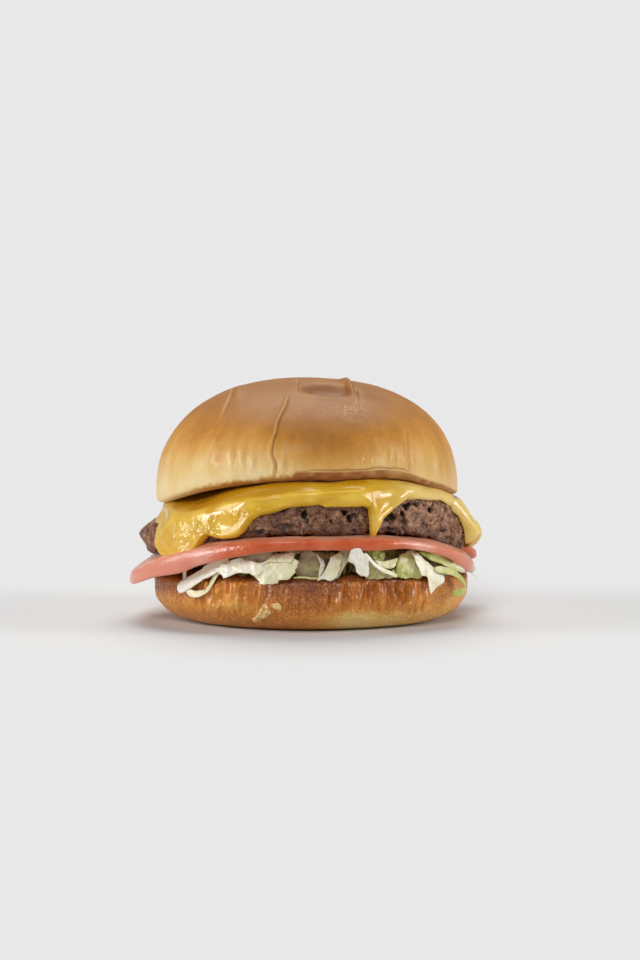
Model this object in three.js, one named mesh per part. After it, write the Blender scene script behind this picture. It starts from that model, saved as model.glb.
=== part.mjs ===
// A cheeseburger, from the bottom: heel of the bun, shredded lettuce, two slices of tomato, beef
// patty, one melted slice of cheese, and the domed crown of the bun. Millimetres, +Z up; the side
// where the layers show best faces -Y. The filling is highest along the middle, so every layer
// droops towards its left and right ends (-X and +X).
import * as THREE from "three";

// --- Driving dimensions ---------------------------------------------------------------------
const CROWN_WIDTH = 102;
const CROWN_DEPTH = 99;
const CROWN_TOP = 81.4;
const CROWN_CENTRE_X = 1;
const HEEL_WIDTH = 106.4;
const HEEL_DEPTH = 101;
const HEEL_HEIGHT = 18.3;
const HEEL_CENTRE_X = 2;
const PATTY_WIDTH = 104;
const PATTY_DEPTH = 100;
const PATTY_THICKNESS = 13.1;
const CHEESE_THICKNESS = 2.0;
const TOMATO_THICKNESS = 3.7;
const FRONT_TOMATO = { x: -1.4, y: -8, width: 116, depth: 94 };
const REAR_TOMATO = { x: 29, y: 24, width: 58, depth: 58, thickness: 2.3 };
const LETTUCE_WIDTH = 100;
const LETTUCE_DEPTH = 98;
const GAP = 0.4;
const CHEESE_GAP = 0.75;

// Heights of the layers at the middle of the front, before they droop.
const TOMATO_UNDER = 28.3;
const PATTY_UNDER = 33.3;
const CROWN_UNDER = 49.6;

// How far each group of layers droops at 50 mm left and right of the middle, and how the droop
// grows on the way there. Per millimetre towards the back, the tomato falls and what lies on the
// rear slice rises.
const DROOP_REACH = 50;
const UPPER_DROOP = { left: 13.0, right: 9.2 };
const TOMATO_DROOP = { left: 9.5, right: 6.2 };
const LEFT_POWER = 2.2;
const RIGHT_POWER = 4.5;
const FRONT_Y = -50;
const UPPER_RISE = 0.05;
const TOMATO_FALL = 0.025;

const TURN = 2 * Math.PI;
const degrees = (value) => (value * Math.PI) / 180;

// --- Shape helpers --------------------------------------------------------------------------

// The sum of waves round an edge. Each wave is [waves in a turn, height, start angle].
function waves(angle, list) {
  return list.reduce((sum, [count, height, start]) => sum + height * Math.cos(count * angle + start), 0);
}

// A smooth bump of height 1 at one angle, which has nearly died away two widths from it.
function bump(angle, centre, width) {
  const away = Math.atan2(Math.sin(angle - centre), Math.cos(angle - centre));
  return Math.exp(-((away / width) ** 2));
}

// Distance from the middle of an ellipse to its edge, at an angle.
function ellipseRadius(angle, width, depth) {
  return 1 / Math.hypot((2 * Math.cos(angle)) / width, (2 * Math.sin(angle)) / depth);
}

// A closed body round a vertical axis. outline(angle) lists [radius, height] from the axis at the
// underside, out and round the edge, to the axis at the top. place(x, y, height) says where each
// such point lies.
function roundSolid(segments, outline, place) {
  const positions = [];
  const faces = [];
  const outlines = [];
  for (let j = 0; j < segments; j++) {
    outlines.push(outline((j * TURN) / segments));
  }
  const rings = outlines[0].length - 2;
  const ringVertex = (ring, j) => 1 + ring * segments + (j % segments);
  positions.push(...place(0, 0, outlines[0][0][1]));
  for (let ring = 0; ring < rings; ring++) {
    for (let j = 0; j < segments; j++) {
      const angle = (j * TURN) / segments;
      const [radius, height] = outlines[j][ring + 1];
      positions.push(...place(radius * Math.cos(angle), radius * Math.sin(angle), height));
    }
  }
  positions.push(...place(0, 0, outlines[0][rings + 1][1]));
  const top = 1 + rings * segments;
  for (let j = 0; j < segments; j++) {
    faces.push(0, ringVertex(0, j + 1), ringVertex(0, j));
    for (let ring = 0; ring < rings - 1; ring++) {
      faces.push(ringVertex(ring, j), ringVertex(ring, j + 1), ringVertex(ring + 1, j + 1));
      faces.push(ringVertex(ring, j), ringVertex(ring + 1, j + 1), ringVertex(ring + 1, j));
    }
    faces.push(top, ringVertex(rings - 1, j), ringVertex(rings - 1, j + 1));
  }
  const geometry = new THREE.BufferGeometry();
  geometry.setAttribute("position", new THREE.Float32BufferAttribute(positions, 3));
  geometry.setIndex(faces);
  geometry.computeVertexNormals();
  return geometry;
}

// --- Surfaces that the layers share ---------------------------------------------------------

function droop(x, ends) {
  const reach = Math.abs(x) / DROOP_REACH;
  return x < 0 ? ends.left * reach ** LEFT_POWER : ends.right * reach ** RIGHT_POWER;
}

// The level plane of the patty, cheese and crown, and that of the tomato slices.
function upperLevel(x, y) {
  return UPPER_RISE * (y - FRONT_Y) - droop(x, UPPER_DROOP);
}

function tomatoLevel(x, y) {
  return -TOMATO_FALL * (y - FRONT_Y) - droop(x, TOMATO_DROOP);
}

// The heel is pressed down a little at its two ends, and its base stays flat.
const HEEL_END_PRESS = 0.12;
function heelScale(x) {
  return 1 - HEEL_END_PRESS * ((x - HEEL_CENTRE_X) / (HEEL_WIDTH / 2)) ** 2;
}

// --- Heel -----------------------------------------------------------------------------------

const HEEL_BASE_ROUND = { out: 13, up: 12 };
const HEEL_TOP_ROUND = { out: 5, up: 4.5 };

function heelOutline(angle) {
  const edge = ellipseRadius(angle, HEEL_WIDTH, HEEL_DEPTH) + waves(angle, [[3, 0.4, 1], [5, 0.3, 2]]);
  const points = [[0, 0]];
  for (let step = 0; step <= 4; step++) {
    const turn = degrees(step * 22.5);
    points.push([
      edge - HEEL_BASE_ROUND.out * (1 - Math.sin(turn)),
      HEEL_BASE_ROUND.up * (1 - Math.cos(turn)),
    ]);
  }
  for (let step = 0; step <= 3; step++) {
    const turn = degrees(step * 30);
    points.push([
      edge - HEEL_TOP_ROUND.out * (1 - Math.cos(turn)),
      HEEL_HEIGHT - HEEL_TOP_ROUND.up * (1 - Math.sin(turn)),
    ]);
  }
  points.push([edge * 0.6, HEEL_HEIGHT - 0.4]);
  points.push([0, HEEL_HEIGHT - 0.6]);
  return points;
}

function heelGeometry() {
  return roundSolid(56, heelOutline, (x, y, height) => {
    const placedX = x + HEEL_CENTRE_X;
    return [placedX, y, height * heelScale(placedX)];
  });
}

// --- Lettuce: one heap between the heel and the front tomato slice --------------------------

// How far the outer ring of the front tomato slice slopes down to its skin edge.
const TOMATO_EDGE_FALL = 0.8;

const LETTUCE_WAVES = [[2, 0.9, 0.4], [5, 1.5, 2.1], [9, 1.3, 0.7], [14, 1.0, 1.9]];

function lettuceOutline(angle) {
  const edge = ellipseRadius(angle, LETTUCE_WIDTH, LETTUCE_DEPTH) + waves(angle, LETTUCE_WAVES);
  const lip = 0.12 * Math.cos(11 * angle);
  return [
    [0, 0],
    [edge * 0.55, 0],
    [edge * 0.85, 0],
    [edge - 2, 0.1 + lip],
    [edge, 0.35 + lip],
    [edge - 0.6, 0.7 + lip],
    [edge - 3.5, 0.95],
    [edge * 0.72, 1],
    [edge * 0.4, 1],
    [0, 1],
  ];
}

function lettuceGeometry() {
  return roundSolid(64, lettuceOutline, (x, y, share) => {
    const under = (HEEL_HEIGHT + GAP) * heelScale(x);
    const over = TOMATO_UNDER - TOMATO_EDGE_FALL - GAP + tomatoLevel(x, y);
    return [x, y, under + share * (over - under)];
  });
}

// --- Tomato slices --------------------------------------------------------------------------

const TOMATO_WAVES = [[2, 0.25, 0.6], [5, 0.5, 1.3], [7, 0.3, 0.2]];

// Each slice ends in a skin edge, and its outer ring slopes down to it.
function tomatoOutline(slice, thickness, edgeFall) {
  return (angle) => {
    const edge = ellipseRadius(angle, slice.width, slice.depth) + waves(angle, TOMATO_WAVES);
    return [
      [0, 0],
      [edge * 0.5, 0],
      [edge - 8, 0],
      [edge - 0.8, -edgeFall],
      [edge, -edgeFall + 0.22 * thickness],
      [edge, -edgeFall + 0.6 * thickness],
      [edge - 1, -edgeFall + 0.75 * thickness],
      [edge - 7, thickness],
      [edge * 0.45, thickness],
      [0, thickness],
    ];
  };
}

function tomatoGeometry(slice, thickness, under, edgeFall) {
  return roundSolid(60, tomatoOutline(slice, thickness, edgeFall), (x, y, height) => {
    const placedX = x + slice.x;
    const placedY = y + slice.y;
    return [placedX, placedY, under + height + tomatoLevel(placedX, placedY)];
  });
}

// --- Patty ----------------------------------------------------------------------------------

const PATTY_SHOULDER = 4;
const PATTY_SEGMENTS = 72;
// Shares of the radius where the flat faces of the patty, cheese and crown have their rings, so
// that these faces bend alike.
const FLAT_RINGS = [0.3, 0.55, 0.78];
const PATTY_WAVES = [[3, 0.5, 0.5], [6, 0.5, 1.1], [11, 0.45, 2.3], [17, 0.35, 0.9]];
const PATTY_CHUNK = { angle: degrees(173), width: degrees(9), size: 5.2 };
const PATTY_RIGHT_END = { angle: degrees(354), width: degrees(13), size: 2 };
const PATTY_NARROW_SIDE = { angle: degrees(29), width: degrees(22), size: -6.5 };

// The edge is uneven: a chunk stands out at the left end, and the back right is narrower.
function pattyRadius(angle) {
  const oval = ellipseRadius(angle, PATTY_WIDTH, PATTY_DEPTH) + waves(angle, PATTY_WAVES);
  return [PATTY_CHUNK, PATTY_RIGHT_END, PATTY_NARROW_SIDE].reduce(
    (radius, place) => radius + place.size * bump(angle, place.angle, place.width), oval);
}

function flatRings(edge, height) {
  return FLAT_RINGS.map((share) => [edge * share, height]);
}

// Heights are measured down from the patty's top.
function pattyOutline(angle) {
  const edge = pattyRadius(angle);
  return [
    [0, -PATTY_THICKNESS],
    [edge * 0.6, -PATTY_THICKNESS],
    [edge - 3.2, -PATTY_THICKNESS],
    [edge - 0.9, -PATTY_THICKNESS + 1],
    [edge, -PATTY_THICKNESS + 3.6],
    [edge, -PATTY_SHOULDER],
    [edge - 1.2, -PATTY_SHOULDER * 0.35],
    [edge - PATTY_SHOULDER, 0],
    ...flatRings(edge, 0).reverse(),
    [0, 0],
  ];
}

const PATTY_TOP = PATTY_UNDER + PATTY_THICKNESS;

function placeOnPattyTop(x, y, height) {
  return [x, y, PATTY_TOP + height + upperLevel(x, y)];
}

function pattyGeometry() {
  return roundSolid(PATTY_SEGMENTS, pattyOutline, placeOnPattyTop);
}

// --- Cheese ---------------------------------------------------------------------------------

// How far the sheet has melted over the patty's shoulder and down its side. It hangs furthest at
// its left corner, in one narrow drip at the front, and at its right and rear corners.
const CHEESE_SHORTEST = 5.8;
const CHEESE_LONGEST = 15.4;
const CHEESE_HANGS = [
  { angle: degrees(205), width: degrees(22), size: 9.6 },
  { angle: degrees(228), width: degrees(12), size: 2.6 },
  { angle: degrees(295), width: degrees(3.6), size: 8.8 },
  { angle: degrees(10), width: degrees(11), size: 9.0 },
  { angle: degrees(108), width: degrees(20), size: 6.0 },
];
const CHEESE_LOBE = { angle: degrees(5), width: degrees(9), size: 5.6 };

function cheeseReach(angle) {
  const hang = CHEESE_HANGS.reduce(
    (sum, place) => sum + place.size * bump(angle, place.angle, place.width), CHEESE_SHORTEST);
  return Math.min(hang + waves(angle, [[7, 0.35, 0.3], [13, 0.25, 1.2]]), CHEESE_LONGEST);
}

// A point `away` from the patty's face, `run` millimetres along it from where its shoulder starts.
function overShoulder(edge, run, away) {
  const roundLength = (PATTY_SHOULDER * Math.PI) / 2;
  const turn = Math.min(run, roundLength) / PATTY_SHOULDER;
  const beyond = Math.max(0, run - roundLength);
  return [
    edge - PATTY_SHOULDER + (PATTY_SHOULDER + away) * Math.sin(turn),
    -PATTY_SHOULDER + (PATTY_SHOULDER + away) * Math.cos(turn) - beyond,
  ];
}

function cheeseOutline(angle) {
  const edge = pattyRadius(angle);
  const reach = cheeseReach(angle);
  const lobe = CHEESE_LOBE.size * bump(angle, CHEESE_LOBE.angle, CHEESE_LOBE.width);
  const outside = CHEESE_GAP + CHEESE_THICKNESS;
  const points = [[0, CHEESE_GAP], ...flatRings(edge, CHEESE_GAP)];
  for (const share of [0, 0.17, 0.34, 0.6, 1]) {
    points.push(overShoulder(edge, share * (reach - 1), CHEESE_GAP));
  }
  points.push(overShoulder(edge, reach, CHEESE_GAP + CHEESE_THICKNESS * 0.45));
  for (const share of [0.93, 0.72, 0.48, 0.24, 0]) {
    points.push(overShoulder(edge, share * reach, outside + lobe * Math.min(1, 1.6 * share)));
  }
  points.push(...flatRings(edge, outside).reverse());
  points.push([0, outside]);
  return points;
}

function cheeseGeometry() {
  return roundSolid(PATTY_SEGMENTS, cheeseOutline, placeOnPattyTop);
}

// --- Crown ----------------------------------------------------------------------------------

const CROWN_POWER = 2.3;
const CROWN_WIDEST = 4.4;
const CROWN_WAVES = [[3, 0.35, 2.2], [4, 0.3, 0.4]];
const CROWN_STEPS = 10;
const CROWN_MIDDLE_RISE = UPPER_RISE * -FRONT_Y;
const CROWN_HEIGHT = CROWN_TOP - CROWN_UNDER - CROWN_MIDDLE_RISE;
// The top droops less than the rim does.
const CROWN_TOP_DROOP_LOSS = 0.65;
const CROWN_DIMPLE = { x: 7, y: -9, width: 9, depth: 1.3 };

function crownOutline(angle) {
  const edge = ellipseRadius(angle, CROWN_WIDTH, CROWN_DEPTH) + waves(angle, CROWN_WAVES);
  const points = [[0, 0], ...flatRings(edge, 0), [edge - 6, 0], [edge - 3, 0.5], [edge - 0.9, 2]];
  for (let step = 0; step < CROWN_STEPS; step++) {
    const turn = degrees((90 * step) / CROWN_STEPS);
    points.push([
      edge * Math.cos(turn) ** (2 / CROWN_POWER),
      CROWN_WIDEST + (CROWN_HEIGHT - CROWN_WIDEST) * Math.sin(turn) ** (2 / CROWN_POWER),
    ]);
  }
  points.push([0, CROWN_HEIGHT]);
  return points;
}

function placeCrown(x, y, height) {
  const placedX = x + CROWN_CENTRE_X;
  const share = height / CROWN_HEIGHT;
  const fall = droop(placedX, UPPER_DROOP) * (1 - CROWN_TOP_DROOP_LOSS * share);
  const away = Math.hypot(placedX - CROWN_DIMPLE.x, y - CROWN_DIMPLE.y) / CROWN_DIMPLE.width;
  const dimple = share > 0.8 ? CROWN_DIMPLE.depth * Math.exp(-(away ** 2)) : 0;
  return [placedX, y, CROWN_UNDER + UPPER_RISE * (y - FRONT_Y) + height - fall - dimple];
}

function crownGeometry() {
  return roundSolid(56, crownOutline, placeCrown);
}

// --- Assembly -------------------------------------------------------------------------------

function layer(name, geometry, color, roughness) {
  const material = new THREE.MeshStandardMaterial({ color, roughness, metalness: 0 });
  const mesh = new THREE.Mesh(geometry, material);
  mesh.name = name;
  return mesh;
}

const frontTomato = tomatoGeometry(FRONT_TOMATO, TOMATO_THICKNESS, TOMATO_UNDER, TOMATO_EDGE_FALL);
const rearTomato = tomatoGeometry(
  REAR_TOMATO, REAR_TOMATO.thickness, TOMATO_UNDER + TOMATO_THICKNESS + GAP, 0);

const group = new THREE.Group();
group.add(
  layer("heel_bun", heelGeometry(), 0xb9773c, 0.45),
  layer("lettuce_heap", lettuceGeometry(), 0xd3cba6, 0.4),
  layer("tomato_slice_front", frontTomato, 0xcf7656, 0.25),
  layer("tomato_slice_rear", rearTomato, 0xc46f56, 0.25),
  layer("patty", pattyGeometry(), 0x6f4a36, 0.55),
  layer("cheese_slice", cheeseGeometry(), 0xdcae3f, 0.28),
  layer("crown_bun", crownGeometry(), 0xc28a4c, 0.32),
);

// The origin is the middle of the whole burger, at the level of the heel's underside.
const bounds = new THREE.Box3().setFromObject(group);
const middle = bounds.getCenter(new THREE.Vector3());
group.position.set(-middle.x, -middle.y, -bounds.min.z);

export default group;
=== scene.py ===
"""A cheeseburger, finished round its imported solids.

Shapes are worked out here in millimetres, +Z up, with the front towards -Y, and become metres when
a mesh is made. Every layer is highest along the middle and droops to its left and right ends.
"""
import itertools
import math

import bpy
import numpy as np
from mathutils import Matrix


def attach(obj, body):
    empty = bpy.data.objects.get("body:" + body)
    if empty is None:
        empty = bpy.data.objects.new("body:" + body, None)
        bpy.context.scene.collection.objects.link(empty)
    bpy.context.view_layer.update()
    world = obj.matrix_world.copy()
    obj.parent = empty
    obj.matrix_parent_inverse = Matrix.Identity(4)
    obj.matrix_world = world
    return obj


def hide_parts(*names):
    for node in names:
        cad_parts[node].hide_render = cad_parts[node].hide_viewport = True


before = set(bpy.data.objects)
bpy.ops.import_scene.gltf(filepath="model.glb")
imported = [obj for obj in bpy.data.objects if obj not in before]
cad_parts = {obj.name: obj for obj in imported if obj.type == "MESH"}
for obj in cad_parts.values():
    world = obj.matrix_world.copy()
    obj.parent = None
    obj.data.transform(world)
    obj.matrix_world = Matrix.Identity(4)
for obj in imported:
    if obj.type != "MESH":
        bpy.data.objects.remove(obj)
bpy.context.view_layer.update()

MM = 0.001
# The solids were moved by this much to bring the middle of the whole burger to the origin.
MIDDLE_SHIFT = np.array([-0.37, 1.17, 0.0])
TURN = 2 * math.pi
FRONT = -0.5 * math.pi


# --- Colours, nodes and materials -------------------------------------------------------------

def linear(hex_colour):
    """An sRGB hex colour such as "c8873f" as linear red, green, blue and alpha."""
    parts = [int(hex_colour[start:start + 2], 16) / 255 for start in (0, 2, 4)]
    return tuple(((c + 0.055) / 1.055) ** 2.4 if c > 0.04045 else c / 12.92 for c in parts) + (1.0,)


def add(tree, kind, inputs=None, stops=None, **settings):
    """Adds a node. A shader node's kind is given without "ShaderNode" in front of it.

    Inputs go by socket name or number; a node stands for its first output in use.
    """
    node = tree.nodes.new(kind if "Node" in kind else "ShaderNode" + kind)
    for key, value in settings.items():
        setattr(node, key, value)
    for socket, value in (inputs or {}).items():
        if isinstance(value, bpy.types.Node):
            value = next(output for output in value.outputs if output.enabled)
        if isinstance(value, bpy.types.NodeSocket):
            tree.links.new(value, node.inputs[socket])
        else:
            node.inputs[socket].default_value = value
    for number, (position, colour) in enumerate(stops or ()):
        ramp = node.color_ramp.elements
        stop = ramp[number] if number < 2 else ramp.new(position)
        stop.position = position
        stop.color = linear(colour)
    return node


def new_material(name):
    """A material, its node tree, and the place on the piece that its patterns follow."""
    material = bpy.data.materials.new(name)
    material.use_nodes = True
    tree = material.node_tree
    tree.nodes.clear()
    return material, tree, add(tree, "TexCoord").outputs["Object"]


def covered(material, shader):
    """The finished material, with this shader as its surface."""
    add(material.node_tree, "OutputMaterial", {"Surface": shader})
    return material


def painted(tree, colour, tones):
    """Lays tones over a colour, each as strongly as the mesh's mark of its name says."""
    for name, tone in tones.items():
        share = add(tree, "Attribute", attribute_name=name).outputs["Fac"]
        colour = add(tree, "Mix", {0: share, 6: colour, 7: linear(tone)}, data_type="RGBA")
    return colour


def varied(tree, base, pattern, amount):
    """A base value with a pattern from 0 to 1 added, as far up as down."""
    centred = add(tree, "Math", {0: pattern, 1: 0.5}, operation="SUBTRACT")
    return add(tree, "Math", {0: centred, 1: amount, 2: base}, operation="MULTIPLY_ADD")


def per_metre(size_mm):
    """The texture scale that makes a pattern this many millimetres across on metre coordinates."""
    return 1 / (size_mm * MM)


# --- Numbers for shapes -----------------------------------------------------------------------

def ease(low, high, value):
    """Goes smoothly from 0 at the low value to 1 at the high one."""
    share = np.clip((value - low) / (high - low), 0, 1)
    return share * share * (3 - 2 * share)


def between(rise_from, rise_to, fall_from, fall_to, value):
    """Eases up to 1 and back to 0 as the value grows."""
    return ease(rise_from, rise_to, value) * (1 - ease(fall_from, fall_to, value))


def bell(value, centre, width):
    """A smooth rise to 1 and back to 0, round a centre."""
    return np.exp(-(((value - centre) / width) ** 2))


def turned_bell(angle, centre, width):
    """A bell round one angle; its centre and width are in degrees."""
    away = np.angle(np.exp(1j * (angle - math.radians(centre))))
    return np.exp(-((away / math.radians(width)) ** 2))


def scatter(cell, seed):
    """A random number from -1 to 1 for each cell of whole-number coordinates."""
    key = cell[..., 0] * 73856093 ^ cell[..., 1] * 19349663 ^ cell[..., 2] * 83492791 ^ seed * 97531
    key = (key ^ (key >> 13)) * 1274126177
    return ((key ^ (key >> 16)) & 0xFFFF) / 32767.5 - 1


def noise(points, size, seed=0):
    """Smooth noise from -1 to 1, with blobs of this size in millimetres."""
    scaled = points / size
    cell = np.floor(scaled).astype(np.int64)
    part = scaled - cell
    part = part * part * (3 - 2 * part)
    total = 0
    for corner in itertools.product((0, 1), repeat=3):
        weight = np.prod(np.where(np.array(corner) == 1, part, 1 - part), axis=-1)
        total = total + weight * scatter(cell + np.array(corner), seed)
    return total


def rough_noise(points, size, seed=0, octaves=3):
    """Noise with finer and weaker noise on top."""
    return sum(noise(points, size / 2 ** n, seed + n) / 2 ** n for n in range(octaves))


def grains(points, size, seed=0):
    """Distances, in grain sizes, to the nearest and second nearest of scattered grain middles."""
    scaled = points / size
    cell = np.floor(scaled).astype(np.int64)
    nearest = np.full(points.shape[:-1], 9.0)
    second = nearest.copy()
    for step in itertools.product((-1, 0, 1), repeat=3):
        here = cell + np.array(step)
        middle = here + 0.5 + 0.45 * np.stack([scatter(here, seed + n) for n in range(3)], axis=-1)
        away = np.linalg.norm(scaled - middle, axis=-1)
        second = np.minimum(second, np.maximum(nearest, away))
        nearest = np.minimum(nearest, away)
    return nearest, second


def front_dense(segments):
    """Angles round a piece, set closer together towards the front."""
    even = np.arange(segments) * TURN / segments
    return even - 0.45 * np.cos(even) + 0.45


def xyz(x, y, z):
    """Points from their coordinates, of which some may be the same for a whole row or ring."""
    return np.stack(np.broadcast_arrays(x, y, z), axis=-1)


def stacked(*sections):
    """Values for all rows of a piece, from sections of rows that follow one another.

    Every section gives the same kinds of value, such as radius and height.
    """
    full = [np.broadcast_arrays(*section) for section in sections]
    return [np.concatenate(rows) for rows in zip(*full)]


def oval(angle, width, depth):
    """The radius of an oval at each angle."""
    return 1 / np.hypot(2 * np.cos(angle) / width, 2 * np.sin(angle) / depth)


def waves(angle, list_of_waves):
    """The sum of waves round an edge, each (waves in a turn, height, start angle)."""
    return sum(height * np.cos(count * angle + start) for count, height, start in list_of_waves)


def face_normals(rings):
    """Outward directions of a grid of points (ring, segment, xyz) that closes round the segments."""
    along = np.roll(rings, -1, axis=1) - np.roll(rings, 1, axis=1)
    up = np.gradient(rings, axis=0)
    normal = np.cross(along, up)
    return normal / np.maximum(np.linalg.norm(normal, axis=-1, keepdims=True), 1e-9)


# --- Meshes -----------------------------------------------------------------------------------

def skin_faces(rings, segments):
    """Faces of a closed skin: a point, rings outward and up from it, and a last point."""
    index = 1 + np.arange(rings * segments).reshape(rings, segments)
    beside = np.roll(index, -1, axis=1)
    quads = np.stack([index[:-1], beside[:-1], beside[1:], index[1:]], axis=-1).reshape(-1, 4)
    first = np.stack([np.zeros(segments, int), beside[0], index[0]], axis=-1)
    last = np.stack([np.full(segments, 1 + rings * segments), index[-1], beside[-1]], axis=-1)
    return first.tolist() + quads.tolist() + last.tolist()


def skin(rings, **marks):
    """A closed skin from rings of points, of which the first and the last have shrunk to a point."""
    def flat(grid):
        grid = np.broadcast_to(grid, rings.shape[:2])
        return np.concatenate([grid[0, :1], grid[1:-1].ravel(), grid[-1, :1]])

    points = np.stack([flat(rings[..., axis]) for axis in range(3)], axis=-1)
    faces = skin_faces(rings.shape[0] - 2, rings.shape[1])
    return points, faces, {name: flat(np.asarray(values)) for name, values in marks.items()}


def join(skins):
    """Several skins as one."""
    points, faces, marks = [], [], {name: [] for name in skins[0][2]}
    start = 0
    for skin_points, skin_face_list, skin_marks in skins:
        points.append(skin_points)
        faces += [tuple(corner + start for corner in face) for face in skin_face_list]
        for name, values in skin_marks.items():
            marks[name].append(values)
        start += len(skin_points)
    return np.concatenate(points), faces, {name: np.concatenate(values) for name, values in marks.items()}


def pushed(rings, push):
    """The rings moved outwards, apart from their two end points."""
    moved = rings + push[..., None] * face_normals(rings)
    moved[0], moved[-1] = rings[0], rings[-1]
    return moved


def smooth_curve(points, count, closed):
    """A smooth curve through points, at evenly spaced places along it."""
    points = np.array(points, dtype=float)
    if closed:
        guides = np.concatenate([points[-1:], points, points[:2]])
    else:
        guides = np.concatenate([2 * points[:1] - points[1:2], points, 2 * points[-1:] - points[-2:-1]])
    part = np.linspace(0, 1, 12, endpoint=False)[:, None]
    pieces = []
    for before, start, end, after in zip(guides, guides[1:], guides[2:], guides[3:]):
        pieces.append(0.5 * (2 * start + (end - before) * part
                             + (2 * before - 5 * start + 4 * end - after) * part ** 2
                             + (3 * start - before - 3 * end + after) * part ** 3))
    curve = np.concatenate(pieces + [guides[-2:-1]])
    travelled = np.concatenate([[0], np.cumsum(np.hypot(*np.diff(curve, axis=0).T))])
    wanted = np.linspace(0, travelled[-1], count, endpoint=not closed)
    return np.stack([np.interp(wanted, travelled, curve[:, axis]) for axis in (0, 1)], axis=-1)


def two_faced(front, back, edge):
    """Rings over the front of a sheet and back over its rear, outwards whichever way its edge turns."""
    rings = np.concatenate([front, back[-2::-1]])
    ahead = np.roll(edge, -1, axis=0)
    clockwise = np.sum(edge[:, 0] * ahead[:, 1] - ahead[:, 0] * edge[:, 1]) < 0
    return rings[:, ::-1] if clockwise else rings


def finish_piece(piece, replaced=()):
    """Puts a piece on the one body, for the solids that it replaces."""
    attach(piece, "root")
    for node in replaced:
        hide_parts(node)


def new_object(name, shape, material):
    """An object from a skin in millimetres, with the skin's marks and a material."""
    points, faces, marks = shape
    mesh = bpy.data.meshes.new(name)
    mesh.from_pydata(((points + MIDDLE_SHIFT) * MM).tolist(), [], faces)
    for mark_name, values in marks.items():
        layer = mesh.attributes.new(mark_name, "FLOAT", "POINT")
        layer.data.foreach_set("value", np.asarray(values, dtype=np.float32))
    mesh.polygons.foreach_set("use_smooth", [True] * len(mesh.polygons))
    mesh.materials.append(material)
    mesh.update()
    piece = bpy.data.objects.new(name, mesh)
    bpy.context.scene.collection.objects.link(piece)
    return piece


def make_piece(name, shape, material, replaced=()):
    """A finished piece of the burger from a skin in millimetres."""
    finish_piece(new_object(name, shape, material), replaced)


def scatter_tree(name, sizes, seed):
    """A tree that spots the outer wall of a skin with points.

    The sizes are the names of its inputs, of which the first is how many points a square metre gets.
    """
    tree = bpy.data.node_groups.new(name, "GeometryNodeTree")
    for way in ("INPUT", "OUTPUT"):
        tree.interface.new_socket("Geometry", in_out=way, socket_type="NodeSocketGeometry")
    for size in sizes:
        tree.interface.new_socket(size, in_out="INPUT", socket_type="NodeSocketFloat")
    given = add(tree, "NodeGroupInput")
    outer = add(tree, "GeometryNodeInputNamedAttribute", {"Name": "outer"}, data_type="FLOAT")
    spots = add(tree, "GeometryNodeDistributePointsOnFaces", {
        "Mesh": given.outputs["Geometry"], "Selection": outer.outputs["Attribute"],
        "Density": given.outputs[sizes[0]], "Seed": seed})
    return tree, given, spots


def end_tree(tree, instances, material):
    """Ends a tree with its instances as smooth plain mesh in this material."""
    real = add(tree, "GeometryNodeRealizeInstances", {"Geometry": instances})
    smooth = add(tree, "GeometryNodeSetShadeSmooth", {"Geometry": real})
    coated = add(tree, "GeometryNodeSetMaterial", {"Geometry": smooth, "Material": material})
    add(tree, "NodeGroupOutput", {"Geometry": coated})
    return tree


def grow(name, base, tree, settings, material):
    """Runs a tree of geometry nodes on a base skin, and keeps what it makes as a piece."""
    holder = new_object(name, base, material)
    modifier = holder.modifiers.new(name, "NODES")
    modifier.node_group = tree
    for item in tree.interface.items_tree:
        if item.name in settings:
            modifier[item.identifier] = settings[item.name]
    graph = bpy.context.evaluated_depsgraph_get()
    grown = bpy.data.meshes.new_from_object(holder.evaluated_get(graph))
    bare = holder.data
    grown.materials.clear()
    grown.materials.append(material)
    holder.modifiers.remove(modifier)
    holder.data = grown
    bpy.data.meshes.remove(bare)
    finish_piece(holder)


# --- How the layers lie -----------------------------------------------------------------------

TOMATO_UNDER, TOMATO_THICKNESS = 28.3, 3.7
PATTY_UNDER, PATTY_THICKNESS = 33.3, 13.1
PATTY_TOP = PATTY_UNDER + PATTY_THICKNESS
CROWN_UNDER, CROWN_TOP = 49.6, 80.5
HEEL_HEIGHT = 18.3
FRONT_Y = -50
UPPER_RISE = 0.05
TOMATO_FALL = 0.025


def droop(x, left, right):
    """How far a layer has dropped; left and right are its drops 50 mm from the middle."""
    reach = np.abs(x) / 50
    return np.where(x < 0, left * reach ** 2.2, right * reach ** 4.5)


def upper_droop(x):
    """The droop of the patty and everything on it."""
    return droop(x, 13.0, 9.2)


def upper_level(x, y):
    """How much higher than at the front of the middle the patty and everything on it lies."""
    return UPPER_RISE * (y - FRONT_Y) - upper_droop(x)


def tomato_level(x, y):
    """How much higher than at the front of the middle the tomato slices lie."""
    return -TOMATO_FALL * (y - FRONT_Y) - droop(x, 9.5, 6.2) - 1.2 * ease(14, 40, -x)


# --- Crown ------------------------------------------------------------------------------------

CROWN_WIDTH, CROWN_DEPTH, CROWN_CENTRE_X = 102, 99, 0.8
# The upright part of its wall, and how far in the wall's foot is.
CROWN_WALL, CROWN_CORNER = 4.4, 3.6
CROWN_HEIGHT = CROWN_TOP - CROWN_UNDER + UPPER_RISE * FRONT_Y
CROWN_SEGMENTS = 500
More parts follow.
